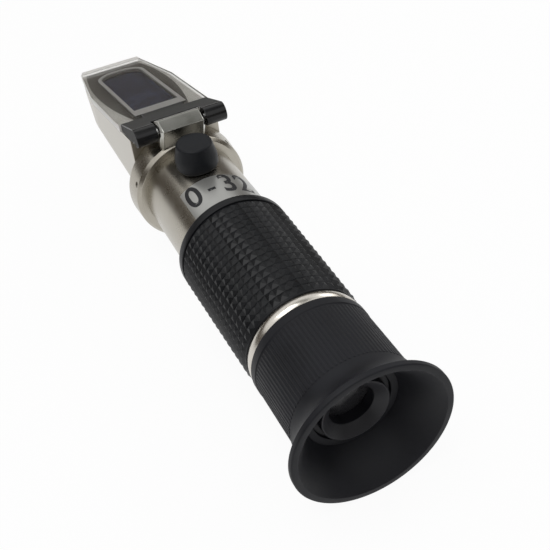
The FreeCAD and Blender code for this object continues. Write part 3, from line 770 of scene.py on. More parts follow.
def round_pattern_tree(name, shape_inputs, make_shape):
    """Tree that copies a shape to points set in rows and columns round the optical axis."""
    tree, add, link = geometry_tree(name, (
        [("Columns", "NodeSocketInt"), ("Rows", "NodeSocketInt")]
        + [(label, FLOAT) for label in ("Radius", "Radius Step", "Start", "Pitch", "Axis Height",
                                        "First Angle", *shape_inputs)]
        + [("Material", "NodeSocketMaterial")]))

    def of(operation, first, second=0):
        return calculate(add, link, operation, first, second)

    given = add("NodeGroupInput").outputs
    index = add("GeometryNodeInputIndex").outputs[0]
    column = of("MODULO", index, given["Columns"])
    row = of("FLOOR", of("DIVIDE", index, given["Columns"]))
    step = of("DIVIDE", 2 * math.pi, given["Columns"])
    angle = of("ADD", of("MULTIPLY", column, step), given["First Angle"])
    radius = of("ADD", given["Radius"], of("MULTIPLY", row, given["Radius Step"]))
    sine = of("MULTIPLY", of("SINE", angle), radius)
    cosine = of("MULTIPLY", of("COSINE", angle), radius)
    height = of("ADD", cosine, given["Axis Height"])
    along = of("ADD", of("MULTIPLY", row, given["Pitch"]), given["Start"])
    place = add("ShaderNodeCombineXYZ")
    link(sine, place.inputs[0])
    link(along, place.inputs[1])
    link(height, place.inputs[2])
    points = add("GeometryNodePoints")
    link(of("MULTIPLY", given["Columns"], given["Rows"]), points.inputs["Count"])
    link(place.outputs[0], points.inputs["Position"])
    lean = add("ShaderNodeCombineXYZ")
    link(angle, lean.inputs[1])
    spread = add("GeometryNodeInstanceOnPoints")
    link(points.outputs[0], spread.inputs["Points"])
    link(make_shape(add, link, given), spread.inputs["Instance"])
    link(lean.outputs[0], spread.inputs["Rotation"])
    real = add("GeometryNodeRealizeInstances")
    link(spread.outputs[0], real.inputs[0])
    paint = add("GeometryNodeSetMaterial")
    link(real.outputs[0], paint.inputs["Geometry"])
    link(given["Material"], paint.inputs["Material"])
    link(paint.outputs[0], add("NodeGroupOutput").inputs[0])
    return tree


print("pattern tree ready")

# %% [markdown]
# ### Flutes on the eyecup
# Ninety low ribs, about a millimetre apart. Each is a thin flattened bar sunk halfway into the
# sleeve, which leaves the shallow rounded flutes that the mould gives.

# %% Flutes
FLUTES = 90
FLUTE_W = 0.62
FLUTE_RISE = 0.10
FLUTE_SIDES = 10
FLUTE_REAR, FLUTE_FRONT = FLARE_S + 0.9, BAND_S - 0.3


def flute_bar(add, link, given):
    """Bar of the given length and radius, flattened to the given rise."""
    bar = add("GeometryNodeMeshCylinder")
    bar.inputs["Vertices"].default_value = FLUTE_SIDES
    link(given["Length"], bar.inputs["Depth"])
    link(given["Half Width"], bar.inputs["Radius"])
    flat = add("GeometryNodeTransform")
    flat.inputs["Rotation"].default_value = (math.pi / 2, 0, 0)
    scale = add("ShaderNodeCombineXYZ")
    scale.inputs[0].default_value = 1
    link(given["Flatness"], scale.inputs[1])
    scale.inputs[2].default_value = 1
    link(bar.outputs["Mesh"], flat.inputs["Geometry"])
    link(scale.outputs[0], flat.inputs["Scale"])
    return flat.outputs[0]


flute_tree = round_pattern_tree("flutes_round_a_sleeve", ("Length", "Half Width", "Flatness"),
                                flute_bar)
flutes = grown("eyecup_flutes", flute_tree, {
    "Columns": FLUTES, "Rows": 1, "Radius": SLEEVE_R * MM, "Axis Height": AXIS_Z,
    "Start": RIM_Y + (FLUTE_REAR + FLUTE_FRONT) / 2 * MM, "Pitch": 0.0, "First Angle": 0.0,
    "Radius Step": 0.0, "Length": (FLUTE_FRONT - FLUTE_REAR) * MM,
    "Half Width": FLUTE_W / 2 * MM, "Flatness": 2 * FLUTE_RISE / FLUTE_W}, CUP_RUBBER)
settle(flutes, "eyepiece", "cup_rubber", CUP_RUBBER)

# %% [markdown]
# ## Eyepiece barrel
# Seen inside the cup: a black metal hub with a coned mouth, and the hole that the eye looks
# through. Only its end shows, but the whole barrel is turned so that the cup has its core.

# %% Eyepiece barrel
HUB_RISE, MOUTH_DEPTH = 3.1, 2.0
EYE_R, MOUTH_R, HUB_R = 5.1, 7.5, 7.8
MOAT_R, MOAT_S = 8.85, 9.6
SHOULDER_R, SHOULDER_S = 12.55, 10.33
BARREL_R, BARREL_BORE_R, BORE_S = 10.5, 9.0, 11.8
barrel_end = CUP_END + 12.7
hub_face = CUP_FLOOR_S + CUP_FLOOR_T - HUB_RISE
barrel = turned("eyepiece_barrel_body", [
    (EYE_R, BORE_S), (EYE_R, hub_face + MOUTH_DEPTH, 0.15), (MOUTH_R, hub_face + 0.1, 0.2),
    (HUB_R, hub_face + 0.2, 0.15), (HUB_R, MOAT_S), (MOAT_R, MOAT_S), (MOAT_R, SHOULDER_S),
    (SHOULDER_R, SHOULDER_S), (SHOULDER_R, CUP_END), (BARREL_R, CUP_END),
    (BARREL_R, barrel_end), (BARREL_BORE_R, barrel_end), (BARREL_BORE_R, BORE_S)])
settle(barrel, "eyepiece", "barrel_black", BARREL_BLACK, "eyepiece_barrel")

# %% [markdown]
# ## Rear bead
# A polished nickel ring closes the rear of the tube. Its crown is a single arc, which is why it
# shows one long white highlight.

# %% Rear bead
BEAD_R = radius_of("rear_bush")
bead_rear, bush_front = (station_of(p.y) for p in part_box("rear_bush"))
BEAD_CROWN = 0.45
BUSH_BORE_R, TUBE_BORE_R = 10.58, 11.7
crown = arc_between((BEAD_R - BEAD_CROWN, bead_rear), (BEAD_R, (bead_rear + GRIP_REAR) / 2),
                    (BEAD_R - BEAD_CROWN, GRIP_REAR), 10)
bead = turned("rear_bead", [(BUSH_BORE_R, bead_rear)] + crown + [
    (TUBE_BORE_R, GRIP_REAR), (TUBE_BORE_R, bush_front), (BUSH_BORE_R, bush_front)])
settle(bead, "body", "bead_bright", BRIGHT, "rear_bush")

# %% [markdown]
# ## Grip
# A moulded rubber sleeve, a little thinner at its front. A plain band closes the front, and
# behind a narrow groove the rest is left for the pyramids that keep wet hands from slipping.
# The sleeve itself is turned, and its radii are read off the frame's own grip.

# %% Grip sleeve
GRIP_R, GRIP_BORE_R = radius_of("grip_sleeve"), 12.7
PYRAMID_RISE, PYRAMID_SINK = 0.42, 0.02
FRONT_BAND, BAND_GROOVE, GROOVE_DEPTH = 2.4, 0.35, 0.1
band_rear = GRIP_FRONT - FRONT_BAND
band_r = GRIP_R - 0.12
pyramid_front = band_rear - BAND_GROOVE
crest_front = radius_near("grip_sleeve", pyramid_front)
crest_rear = radius_near("grip_sleeve", GRIP_REAR)
core_front = crest_front - PYRAMID_RISE - PYRAMID_SINK
groove_r = core_front - GROOVE_DEPTH
core_rear = crest_rear - PYRAMID_RISE - PYRAMID_SINK
grip = turned("grip_body", [
    (GRIP_BORE_R, GRIP_REAR), (core_rear, GRIP_REAR, 0.3), (core_front, pyramid_front),
    (groove_r, pyramid_front + 0.05), (groove_r, band_rear - 0.05),
    (band_r, band_rear, 0.2), (band_r, GRIP_FRONT, 0.45), (GRIP_BORE_R, GRIP_FRONT)])
settle(grip, "body", "grip_rubber", GRIP_RUBBER, "grip_sleeve")

# %% [markdown]
# ### Pyramids on the grip
# Small square pyramids, 45 round the sleeve and 16 along it. Each is a box whose outer face is
# drawn in almost to a point, which takes six faces, so 720 of them stay light. The rows step
# inwards by an even amount, because the sleeve tapers.

# %% Grip pyramids
PYRAMID_COLUMNS, PYRAMID_ROWS = 45, 16
PYRAMID_REAR = GRIP_REAR + 0.5
PYRAMID_PITCH = (pyramid_front - PYRAMID_REAR) / PYRAMID_ROWS
PYRAMID_TIP = 0.10
PYRAMID_TURN = math.radians(2.2)


def pyramid(add, link, given):
    """Box whose outer face is drawn in almost to a point."""
    size = add("ShaderNodeCombineXYZ")
    link(given["Width"], size.inputs[0])
    link(given["Pitch"], size.inputs[1])
    link(given["Rise"], size.inputs[2])
    box = add("GeometryNodeMeshCube")
    link(size.outputs[0], box.inputs["Size"])
    facing = add("ShaderNodeSeparateXYZ")
    link(add("GeometryNodeInputNormal").outputs[0], facing.inputs[0])
    outer = add("FunctionNodeCompare", operation="GREATER_THAN")
    link(facing.outputs[2], outer.inputs[0])
    outer.inputs[1].default_value = 0.5
    point = add("GeometryNodeScaleElements")
    link(box.outputs["Mesh"], point.inputs["Geometry"])
    link(outer.outputs[0], point.inputs["Selection"])
    link(given["Tip"], point.inputs["Scale"])
    return point.outputs[0]


pyramid_tree = round_pattern_tree("pyramids_round_a_grip", ("Width", "Rise", "Tip"), pyramid)
pyramid_w = 2 * core_front * math.tan(math.pi / PYRAMID_COLUMNS)
row_gain = (crest_front - crest_rear) * PYRAMID_PITCH / (pyramid_front - GRIP_REAR)
first_row_r = crest_rear + row_gain / 2 - PYRAMID_RISE / 2 - PYRAMID_SINK
pyramids = grown("grip_pyramids", pyramid_tree, {
    "Columns": PYRAMID_COLUMNS, "Rows": PYRAMID_ROWS, "Radius": first_row_r * MM,
    "Radius Step": row_gain * MM, "Axis Height": AXIS_Z,
    "Start": RIM_Y + (PYRAMID_REAR + PYRAMID_PITCH / 2) * MM, "Pitch": PYRAMID_PITCH * MM,
    "First Angle": PYRAMID_TURN, "Width": pyramid_w * MM, "Rise": PYRAMID_RISE * MM,
    "Tip": PYRAMID_TIP}, GRIP_RUBBER)
settle(pyramids, "body", "grip_rubber", GRIP_RUBBER)

# %% [markdown]
# ## Body tube
# A plain nickel tube with a satin finish. Most of it is hidden by the grip; the bare length in
# front carries the label and the calibration cap.

# %% Body tube
TUBE_R = radius_of("body_tube")
tube_front = station_of(tube_high.y)
tube = turned("tube_body", [(TUBE_BORE_R, GRIP_REAR), (TUBE_R, GRIP_REAR), (TUBE_R, tube_front),
                            (TUBE_BORE_R, tube_front)])
settle(tube, "body", "body_satin", SATIN, "body_tube")

# %% [markdown]
# ## Collar
# The flange that joins the tube to the prism housing. Its rear edge is bevelled, its rim is
# slightly coned, and three tiny screws in its side lock it to the tube.

# %% Collar
COLLAR_R, COLLAR_BORE_R = radius_of("collar"), 14.0
BEVEL_R, BEVEL_TOP_R, BEVEL_LENGTH = 14.4, 15.2, 0.9
CHAMFER = 0.4
collar = turned("collar_body", [
    (TUBE_R, COLLAR_REAR), (BEVEL_R, COLLAR_REAR, 0.15),
    (BEVEL_TOP_R, COLLAR_REAR + BEVEL_LENGTH, 0.25), (COLLAR_R, COLLAR_FRONT - CHAMFER, 0.15),
    (COLLAR_R - CHAMFER, COLLAR_FRONT), (COLLAR_BORE_R, COLLAR_FRONT),
    (COLLAR_BORE_R, tube_front), (TUBE_R, tube_front)])
print("collar turned, %d faces" % len(collar.data.polygons))

# %% [markdown]
# ### Grub holes
# The three holes are cut as a drill would cut them, straight in towards the axis. Three rods
# stand where the drill goes, and one Boolean takes them all away from the collar.

# %% Grub holes
GRUBS = 3
GRUB_HOLE_R = 0.75
GRUB_S = COLLAR_REAR + 1.9
GRUB_ANGLE = math.radians(90 - 158)
DRILL_R, DRILL_DEPTH, DRILL_SIDES = 15.0, 2.6, 24
drill = bmesh.new()
for k in range(GRUBS):
    a = GRUB_ANGLE + 2 * math.pi * k / GRUBS
    outward = Vector((math.sin(a), 0, math.cos(a)))
    start = Vector((0, RIM_Y + GRUB_S * MM, AXIS_Z)) + outward * DRILL_R * MM
    place = Matrix.Translation(start) @ outward.to_track_quat("Z", "Y").to_matrix().to_4x4()
    bmesh.ops.create_cone(drill, cap_ends=True, segments=DRILL_SIDES, radius1=GRUB_HOLE_R * MM,
                          radius2=GRUB_HOLE_R * MM, depth=DRILL_DEPTH * MM, matrix=place)
drill_piece = mesh_object("drill", drill)
cut = collar.modifiers.new("grub holes", "BOOLEAN")
cut.operation = "DIFFERENCE"
cut.solver = "EXACT"
cut.object = drill_piece
apply_modifiers(collar)
collar.data.set_sharp_from_angle(angle=math.radians(SHARP_EDGE))
bpy.data.objects.remove(drill_piece)
settle(collar, "body", "body_satin", SATIN, "collar")

# %% [markdown]
# ### Grub screws
# A small screw with a six-sided socket sits a little below the surface in each hole. The socket
# is a Boolean inside the tree, so all three screws come from the same few nodes.

# %% Screws in the collar
GRUB_R, GRUB_LENGTH, GRUB_SIDES = GRUB_HOLE_R - 0.03, 1.0, 20
GRUB_SEAT_R = 14.35
SOCKET_SIDES, SOCKET_SHARE, SOCKET_LIFT = 6, 0.55, 0.6


def grub_screw(add, link, given):
    """Short rod with a six-sided socket in its outer end."""
    rod = add("GeometryNodeMeshCylinder")
    rod.inputs["Vertices"].default_value = GRUB_SIDES
    link(given["Size"], rod.inputs["Radius"])
    link(given["Depth"], rod.inputs["Depth"])
    socket = add("GeometryNodeMeshCylinder")
    socket.inputs["Vertices"].default_value = SOCKET_SIDES
    link(calculate(add, link, "MULTIPLY", given["Size"], SOCKET_SHARE), socket.inputs["Radius"])
    link(given["Depth"], socket.inputs["Depth"])
    lift = add("ShaderNodeCombineXYZ")
    link(calculate(add, link, "MULTIPLY", given["Depth"], SOCKET_LIFT), lift.inputs[2])
    raised = add("GeometryNodeTransform")
    link(socket.outputs["Mesh"], raised.inputs["Geometry"])
    link(lift.outputs[0], raised.inputs["Translation"])
    hollow = add("GeometryNodeMeshBoolean", operation="DIFFERENCE")
    link(rod.outputs["Mesh"], hollow.inputs["Mesh 1"])
    link(raised.outputs[0], hollow.inputs["Mesh 2"])
    return hollow.outputs[0]


grub_tree = round_pattern_tree("screws_round_a_collar", ("Size", "Depth"), grub_screw)
grubs = grown("grub_screws", grub_tree, {
    "Columns": GRUBS, "Rows": 1, "Radius": GRUB_SEAT_R * MM, "Radius Step": 0.0,
    "Axis Height": AXIS_Z, "Start": RIM_Y + GRUB_S * MM, "Pitch": 0.0,
    "First Angle": GRUB_ANGLE, "Size": GRUB_R * MM, "Depth": GRUB_LENGTH * MM}, PIN_STEEL)
settle(grubs, "body", "pin_steel", PIN_STEEL)

# %% [markdown]
# ### Label
# A thin foil label goes part of the way round the tube, between the grip and the cap. Its edge
# under the grip isn't seen. It is a curved plate with a real thickness, made as a closed strip
# of small steps, because a single sheet would show no edge.

# %% Label foil
LABEL_RISE, LABEL_SINK = 0.05, -0.1
LABEL_REAR, LABEL_FRONT = GRIP_FRONT - 0.5, GRIP_FRONT + 12.9
LABEL_FROM, LABEL_TO = math.radians(-38), math.radians(62)
LABEL_STEPS = 60
foil = bmesh.new()
foil_rows = []
for k in range(LABEL_STEPS + 1):
    a = LABEL_FROM + (LABEL_TO - LABEL_FROM) * k / LABEL_STEPS
    foil_rows.append([foil.verts.new(on_axis(TUBE_R + rise, a, s)) for s, rise in (
        (LABEL_REAR, LABEL_SINK), (LABEL_REAR, LABEL_RISE), (LABEL_FRONT, LABEL_RISE),
        (LABEL_FRONT, LABEL_SINK))])
for first, second in zip(foil_rows, foil_rows[1:]):
    for i in range(4):
        foil.faces.new((first[i], first[(i + 1) % 4], second[(i + 1) % 4], second[i]))
foil.faces.new(foil_rows[0])
foil.faces.new(foil_rows[-1])
label = mesh_object("label_foil", foil)
settle(label, "body", "body_satin", LABEL_GREY)

# %% [markdown]
# ### Numbers
# The label carries the range of the scale, nought to thirty-two, as plain numbers. They start
# as a flat text with a little thickness. The dash is a block of its own, set in the text's
# widest gap. Then every point is bent round the tube, keeping its distance along the skin, so
# the long edges are divided first.

# %% Numbers on the label
NUMBER_SIZE, NUMBER_SQUEEZE = 6.2 * 1.75, 0.76
NUMBER_S, NUMBER_ANGLE = 72.5, math.radians(5)
NUMBER_BOLD, NUMBER_T, INK_RISE = 0.19, 0.03, 0.02
DASH_LENGTH, DASH_WIDTH, DASH_HEIGHT = 2.6, 1.0, 3.0
LONGEST_EDGE = 0.8
text = bpy.data.curves.new("scale_range", "FONT")
text.body = "0  32"
text.size = NUMBER_SIZE * MM
text.extrude = NUMBER_T * MM
text.offset = NUMBER_BOLD * MM
text.space_character = 1.05
text.align_x = "CENTER"
text_piece = bpy.data.objects.new("scale_range", text)
scene.collection.objects.link(text_piece)
numbers = bmesh.new()
numbers.from_mesh(evaluated_mesh(text_piece))
bpy.data.objects.remove(text_piece)

base = min(v.co.y for v in numbers.verts)
across_at = sorted(v.co.x for v in numbers.verts)
dash_x = max((q - p, (p + q) / 2) for p, q in zip(across_at, across_at[1:]))[1]
dash_place = Matrix.Translation((dash_x, base + DASH_HEIGHT * MM, 0))
dash_size = Matrix.Diagonal((DASH_LENGTH * MM, DASH_WIDTH * MM, 2 * NUMBER_T * MM, 1))
bmesh.ops.create_cube(numbers, size=1, matrix=dash_place @ dash_size)
bmesh.ops.triangulate(numbers, faces=numbers.faces)
long_edges = [e for e in numbers.edges if e.calc_length() > LONGEST_EDGE * MM]
bmesh.ops.subdivide_edges(numbers, edges=long_edges, cuts=3)
for v in numbers.verts:
    angle = NUMBER_ANGLE + NUMBER_SQUEEZE * v.co.x / MM / TUBE_R
    ink = LABEL_RISE + (INK_RISE if v.co.z > 0 else -INK_RISE)
    v.co = on_axis(TUBE_R + ink, angle, NUMBER_S + (v.co.y - base) / MM)
numerals = mesh_object("scale_numbers", numbers)
settle(numerals, "body", "seal_black", NUMERAL_BLACK)

# %% [markdown]
# ## Pieces with flat faces
# The housing, the hinge and the cap are already right in the frame, down to the prism's well.
# What they lack is a soft edge. So a copy of each is merged, its flat faces are joined again,
# and a narrow bevel rounds every edge, as tumbling or plating does. Weighted normals keep the
# flat faces flat beside it.

# %% Copies with soft edges
MERGE = 2e-6
FLAT_ANGLE, EDGE_ANGLE = math.radians(0.6), 28
BEVEL_SEGMENTS, FLATNESS = 2, 100


def merged_copy(node):
    """Bmesh of a node's mesh with its loose triangles joined."""
    source = bmesh.new()
    source.from_mesh(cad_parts[node].data)
    bmesh.ops.remove_doubles(source, verts=source.verts, dist=MERGE)
    return source


def with_soft_edges(source, name, width, sharp=EDGE_ANGLE):
    """Object from a bmesh with a narrow bevel on its sharp edges; flat faces stay flat."""
    data = bpy.data.meshes.new(name)
    source.to_mesh(data)
    source.free()
    data.shade_smooth()
    piece = bpy.data.objects.new(name, data)
    scene.collection.objects.link(piece)
    bevel = piece.modifiers.new("soft edges", "BEVEL")
    bevel.width = width * MM
    bevel.segments = BEVEL_SEGMENTS
    bevel.limit_method = "ANGLE"
    bevel.angle_limit = math.radians(sharp)
    even = piece.modifiers.new("flat faces", "WEIGHTED_NORMAL")
    even.mode = "FACE_AREA"
    even.weight = FLATNESS
    apply_modifiers(piece)
    return piece


def soft_edged(node, name, width):
    """Merged copy of a node with its flat faces joined and a narrow bevel on its edges."""
    source = merged_copy(node)
    bmesh.ops.dissolve_limit(source, angle_limit=FLAT_ANGLE, verts=source.verts,
                             edges=source.edges)
    return with_soft_edges(source, name, width)


print("soft edges have", BEVEL_SEGMENTS, "segments")

# %% [markdown]
# ### Prism housing
# The nickel shell that the prism lies in, wedge-shaped towards its tip. It is the widest bevel
# here, because plating rounds the edges of a casting most.

# %% Prism housing
housing = soft_edged("prism_box", "prism_housing", 0.18)
settle(housing, "body", "body_satin", SATIN, "prism_box")

# %% [markdown]
# ### Hinge block
# The chromed block that holds the pin. Its top is polished, and the faces that look back and down,
# towards the eyecup, take a darker copy of the chrome as painted shade.

# %% Hinge block
block = soft_edged("hinge_block", "hinge_block_body", 0.15)
settle(block, "body", "hinge_chrome", CHROME, "hinge_block")
# The faces that look back and down get the darker chrome: painted shade.
second_finish(block, CHROME_PAINTED_SHADE, lambda face: face.normal.y < -0.8 and face.normal.z < -0.1)

# %% [markdown]
# ### Hinge frame
# Black plastic, moulded round the plate's rear end, with a knuckle each side of the block. The
# knuckles are made of many narrow faces and stay glossy, and the broad flat faces are matt.

# %% Hinge frame
BROAD_FACE = (3 * MM) ** 2
flap_frame = soft_edged("hinge_frame", "hinge_frame_body", 0.2)
settle(flap_frame, "flap", "frame_black", FRAME_BLACK, "hinge_frame")
second_finish(flap_frame, FRAME_MATT, lambda face: face.area > BROAD_FACE)

# %% [markdown]
# ## The sloping face
# The housing's open face and the plate on it slope down towards the tip by about twelve degrees.
# One helper places points on that slope by their station and their depth below the plate's top,
# so the bed, the plate and the rib are drawn as flat shapes.

# %% Sloping face
SLOPE = math.radians(11.9)
PLATE_TOP, PLATE_T = 18.2, 2.0
BOX_REAR = COLLAR_FRONT
BOX_TIP = station_of(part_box("prism_box")[1].y)
plate_low, plate_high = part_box("daylight_plate")
TIP_S = station_of(plate_high.y)
WINDOW_REAR, WINDOW_FRONT = (station_of(p.y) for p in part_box("measuring_prism"))
WINDOW_HALF = radius_of("measuring_prism")


def on_slope(x, station, depth):
    """Place at a depth below the plate's top face, square to it."""
    drop = (station - BOX_REAR) * math.tan(SLOPE) + depth / math.cos(SLOPE)
    return Vector((x * MM, RIM_Y + station * MM, AXIS_Z + (PLATE_TOP - drop) * MM))


print("slope from %.1f to %.1f mm" % (BOX_REAR, BOX_TIP))

# %% [markdown]
# ## Painted shade and light round the prism
# Round the window lies a dark lens shape that is painted shade and reflection, and a pale rim
# beside it that is painted light. Both are a thin skin on the housing's sloping face.
# Strips across the face, each with its own widths, give the arch of the window and the lens.

# %% Widths of the bed
ARCH = 5.0
LENS_END_HALF, LENS_BULGE = 7.9, 3.1
LENS_MIDDLE, LENS_REACH = 139, 27
BED_HALF, BED_TAPER_S, BED_TAPER = 12.1, 142, 2.5
RIM_LEFT = 0.3


def arched_half(station, half, rear, front, corner):
    """Half width at a station of a slot with a square rear end and rounded front corners."""
    if station < rear or station > front:
        return 0.0
    past = station - (front - corner)
    return half if past <= 0 else half - corner + math.sqrt(max(corner**2 - past**2, 0.0))


def lens_half(station):
    """Half width of the painted dark lens at a station."""
    return LENS_END_HALF + LENS_BULGE * (1 - ((station - LENS_MIDDLE) / LENS_REACH) ** 2)


def bed_half(station):
    """Half width of the whole bed, which narrows with the housing towards its tip."""
    past = max(station - BED_TAPER_S, 0)
    return BED_HALF - past * BED_TAPER / (BOX_TIP - BED_TAPER_S)


print("bed: lens %.1f mm wide at its middle" % (2 * lens_half(LENS_MIDDLE)))

# %% [markdown]
# ### The skin itself
# Rows of six points run across the face: rim, lens and window edge on each side. The middle
# strip is left out where the window is. Solidify then gives the sheet its small thickness,
# after the normals are set, so that both skins face outwards.

# %% Bed skin
BED_DEPTH, BED_THICK, BED_SINK = 2.3, 0.05, 0.01
BED_REAR, BED_FRONT = 107.5, BOX_TIP - 0.5
BED_STRIPS = 90
RIM_S = 164.6
stations = sorted({BED_REAR + (BED_FRONT - BED_REAR) * k / BED_STRIPS
                   for k in range(BED_STRIPS + 1)}
                  | {WINDOW_REAR, WINDOW_REAR - 0.01, WINDOW_FRONT, WINDOW_FRONT - 0.15,
                     WINDOW_FRONT - 0.6})
bed = bmesh.new()
rows = []
for s in stations:
    hole = arched_half(s, WINDOW_HALF, WINDOW_REAR, WINDOW_FRONT, ARCH)
    rim = bed_half(s)
    lens = min(lens_half(s), rim - RIM_LEFT)
    rows.append([bed.verts.new(on_slope(x, s, BED_DEPTH - BED_THICK))
                 for x in (-rim, -lens, -hole, hole, lens, rim)])
for near, far in zip(rows, rows[1:]):
    in_window = far[3].co.x > 0 or near[3].co.x > 0
    for i in (0, 1, 3, 4) if in_window else range(5):
        bed.faces.new((near[i], near[i + 1], far[i + 1], far[i]))
bmesh.ops.remove_doubles(bed, verts=bed.verts, dist=JOIN)
bmesh.ops.dissolve_degenerate(bed, edges=bed.edges, dist=SPECK)
bmesh.ops.recalc_face_normals(bed, faces=bed.faces)
bmesh.ops.solidify(bed, geom=bed.faces, thickness=-(BED_THICK + BED_SINK) * MM)
shade_and_light_skin = mesh_object("prism_painted_shade_and_light", bed)
# The skin is dark painted shade, and its rim takes the painted light below.
settle(shade_and_light_skin, "body", "seal_black", BED_PAINTED_SHADE)


def beside_lens(face):
    """Whether a face of the skin is on the pale rim of painted light."""
    along = station_of(face.center.y)
    return abs(face.center.x) / MM > lens_half(along) - 0.05 or along > RIM_S


second_finish(shade_and_light_skin, BED_PAINTED_LIGHT, beside_lens)

# %% [markdown]
# ## Daylight plate
# Clear acrylic, two millimetres thick, with sawn edges that scatter the light and so look
# milky. Its front edge is turned up a little as a finger lip. The rib round the window is
# frosted too, and arched at its far end.

# %% Outline of the plate
LIP_S, LIP_UP = TIP_S - 0.8, 0.7
LIP_HALF, TIP_CUT = 9.8, 0.7
PLATE_HALF, BEND_S = radius_of("daylight_plate"), 140.5
TONGUE_HALF, TONGUE_REAR, TONGUE_FRONT = 11.0, station_of(plate_low.y), 109.6


def plate_edge(station):
    """Half width of the plate at a station ahead of its bend."""
    return PLATE_HALF - (PLATE_HALF - LIP_HALF) * (station - BEND_S) / (TIP_S - TIP_CUT - BEND_S)


def lip_rise(station):
    """Height of the finger lip over the plate's top at a station."""
    return LIP_UP * max(0.0, station - LIP_S) / (TIP_S - LIP_S)


side = [(TONGUE_HALF, TONGUE_REAR), (TONGUE_HALF, TONGUE_FRONT), (PLATE_HALF, TONGUE_FRONT),
        (PLATE_HALF, BEND_S), (plate_edge(LIP_S), LIP_S), (LIP_HALF, TIP_S - TIP_CUT),
        (LIP_HALF - TIP_CUT, TIP_S)]
around = side + [(-x, s) for x, s in reversed(side)]
print("plate outline has", len(around), "corners")

# %% [markdown]
# ### The slab
# The outline is set at the plate's top and at its underside, and walls join the two. The top is
# two faces that meet where the lip starts to rise. The broad faces are clear and all the others
# are frosted.

# %% Plate
slab = bmesh.new()
top = [slab.verts.new(on_slope(x, s, -lip_rise(s))) for x, s in around]
low = [slab.verts.new(on_slope(x, s, PLATE_T)) for x, s in around]
lip_left, lip_right = 4, len(around) - 5
slab.faces.new(top[:lip_left + 1] + top[lip_right:])
slab.faces.new(top[lip_left:lip_right + 1])
slab.faces.new(low)
for i in range(len(around)):
    j = (i + 1) % len(around)
    slab.faces.new((top[i], top[j], low[j], low[i]))
bmesh.ops.recalc_face_normals(slab, faces=slab.faces)
plate = with_soft_edges(slab, "daylight_plate_body", 0.15, sharp=20)
settle(plate, "flap", "plate_clear", PLATE_CLEAR, "daylight_plate")
square_to_plate = Vector((0, math.sin(SLOPE), math.cos(SLOPE)))


def frosted(face):
    """Whether a face of the plate is an edge or on the lip."""
    flat = abs(face.normal.dot(square_to_plate)) > 0.97
    return not (flat and station_of(face.center.y) < LIP_S)


second_finish(plate, PLATE_FROST, frosted)

# %% [markdown]
# ### Window rib
# A low frosted rib frames the window, square at the hinge and arched at the far end. Two
# outlines, one inside the other, are set at two heights, which gives a closed ring with a
# square section, and the bevel softens it.

# %% Window rib
RIB_W, RIB_UP, RIB_SINK = 1.0, 0.35, 0.02
RIB_HALF, RIB_REAR, RIB_FRONT = 7.3, 112.3, 157.6
SLOT_REAR, SLOT_FRONT = 116.5, 156.4
ARCH_STEPS = 10


def arch_points(half, rear, front, corner):
    """Outline of a slot with rounded front corners, from its rear left round to its rear right."""
    turns = [math.pi / 2 * k / ARCH_STEPS for k in range(ARCH_STEPS + 1)]
    left = [(-half, rear)] + [(-half + corner - corner * math.cos(a),
                               front - corner + corner * math.sin(a)) for a in turns]
    return left + [(-x, s) for x, s in reversed(left)]


outer = arch_points(RIB_HALF, RIB_REAR, RIB_FRONT, ARCH + RIB_W)
inner = arch_points(RIB_HALF - RIB_W, SLOT_REAR, SLOT_FRONT, ARCH)
rib_mesh = bmesh.new()
loops = [[rib_mesh.verts.new(on_slope(x, s, depth)) for x, s in line]
         for line, depth in ((outer, -RIB_UP), (inner, -RIB_UP), (inner, RIB_SINK),
                             (outer, RIB_SINK))]
for loop, following in zip(loops, loops[1:] + loops[:1]):
    for i in range(len(outer)):
        j = (i + 1) % len(outer)
        rib_mesh.faces.new((loop[i], loop[j], following[j], following[i]))
bmesh.ops.recalc_face_normals(rib_mesh, faces=rib_mesh.faces)
rib = with_soft_edges(rib_mesh, "window_rib", 0.12, sharp=30)
settle(rib, "flap", "plate_clear", RIB_FROST)

# %% [markdown]
# ## Calibration cap
# A soft rubber cap over the calibration screw. It is turned about a vertical axis, slightly
# tapered, with a shallow dish on top. Its foot is cut to sit on the round tube, so the copy
# of the frame's own piece keeps that saddle.

# %% Calibration cap
cap = soft_edged("calibration_cap", "calibration_cap_body", 0.12)
settle(cap, "cap", "cap_rubber", CAP_RUBBER, "calibration_cap")

# %% [markdown]
# ## Eye lens
# The lens shows deep in the hub, so its dome must be smooth. The frame's piece is loose
# triangles and would show its facets; a merged copy can be shaded smooth.

# %% Eye lens
eye_lens = mesh_object("eye_lens_body", merged_copy("eye_lens"), sharp=25)
settle(eye_lens, "lens_stack", "lens_glass", EYE_GLASS, "eye_lens")

# %% [markdown]
# ## What stays as the frame has it
# The inner pieces keep their shape. They show only when the plate is open, the cap is off or
# the eye is at the cup, but each still gets its own finish.

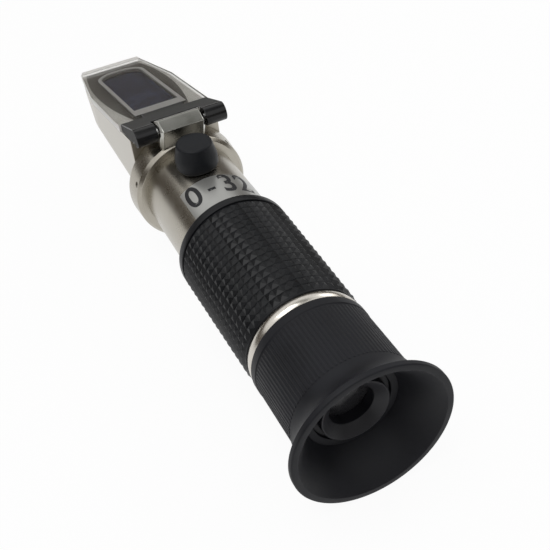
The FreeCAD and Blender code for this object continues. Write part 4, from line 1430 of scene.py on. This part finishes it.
# %% Finishes for the kept nodes
KEPT = [
    (LENS_GLASS, ("field_lens", "objective_lens", "reticle")),
    (INNER_BLACK, ("lens_spacer", "lens_retainer", "reticle_ring", "reticle_retainer",
                   "objective_guide", "objective_cell", "objective_ring", "front_baffle")),
    (BRASS, ("calibration_boss", "screw_ring", "calibration_screw", "objective_slider")),
    (STRIP_METAL, ("bimetal_strip",)),
    (PRISM_GLASS, ("measuring_prism",)),
    (SEAL_BLACK, ("prism_seal",)),
    (PIN_STEEL, ("hinge_pin",))]
for material, kept_nodes in KEPT:
    for node in kept_nodes:
        kept_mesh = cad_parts[node].data
        kept_mesh.materials.clear()
        kept_mesh.materials.append(material)
print(sum(len(kept_nodes) for _, kept_nodes in KEPT), "kept nodes finished")

# %% [markdown]
# ## Floor
# A plain pale floor under the cup's rim. To the camera it is mostly white by itself, so that the
# picture has its white ground and still keeps a soft shadow. Reflections and clear pieces see
# the same white, so the metal and the plate show the ground that the picture shows.

# %% Floor
FLOOR_HALF = 8.0
floor_mesh = bmesh.new()
floor_mesh.faces.new([floor_mesh.verts.new((x * FLOOR_HALF, y * FLOOR_HALF, 0))
                      for x, y in ((-1, -1), (1, -1), (1, 1), (-1, 1))])
floor = mesh_object("floor", floor_mesh)
print("floor", 2 * FLOOR_HALF, "m wide, at the level of the cup's rim")

# %% [markdown]
# ### How the floor keeps a shadow
# Where it is seen, 94 parts in 100 are a plain white glow and the rest is a matt floor that takes
# the light. So the shadow is there, and the ground is white without any more light.

# %% Floor paint
FLOOR_GLOW = 0.94
floor_paint = bpy.data.materials.new("pale_floor")
floor_paint.use_nodes = True
nodes, links = floor_paint.node_tree.nodes, floor_paint.node_tree.links
nodes.clear()
share = nodes.new("ShaderNodeMath")
share.operation = "MULTIPLY"
share.inputs[1].default_value = FLOOR_GLOW
links.new(sight_mask(floor_paint.node_tree), share.inputs[0])
matt = nodes.new("ShaderNodeBsdfDiffuse")
matt.inputs["Color"].default_value = (0.9, 0.9, 0.9, 1)
white = nodes.new("ShaderNodeEmission")
lit = nodes.new("ShaderNodeMixShader")
links.new(share.outputs[0], lit.inputs["Fac"])
links.new(matt.outputs[0], lit.inputs[1])
links.new(white.outputs[0], lit.inputs[2])
floor_out = nodes.new("ShaderNodeOutputMaterial")
links.new(lit.outputs[0], floor_out.inputs["Surface"])
floor_paint.cycles.emission_sampling = "NONE"
floor.data.materials.append(floor_paint)
print("floor glow", FLOOR_GLOW)
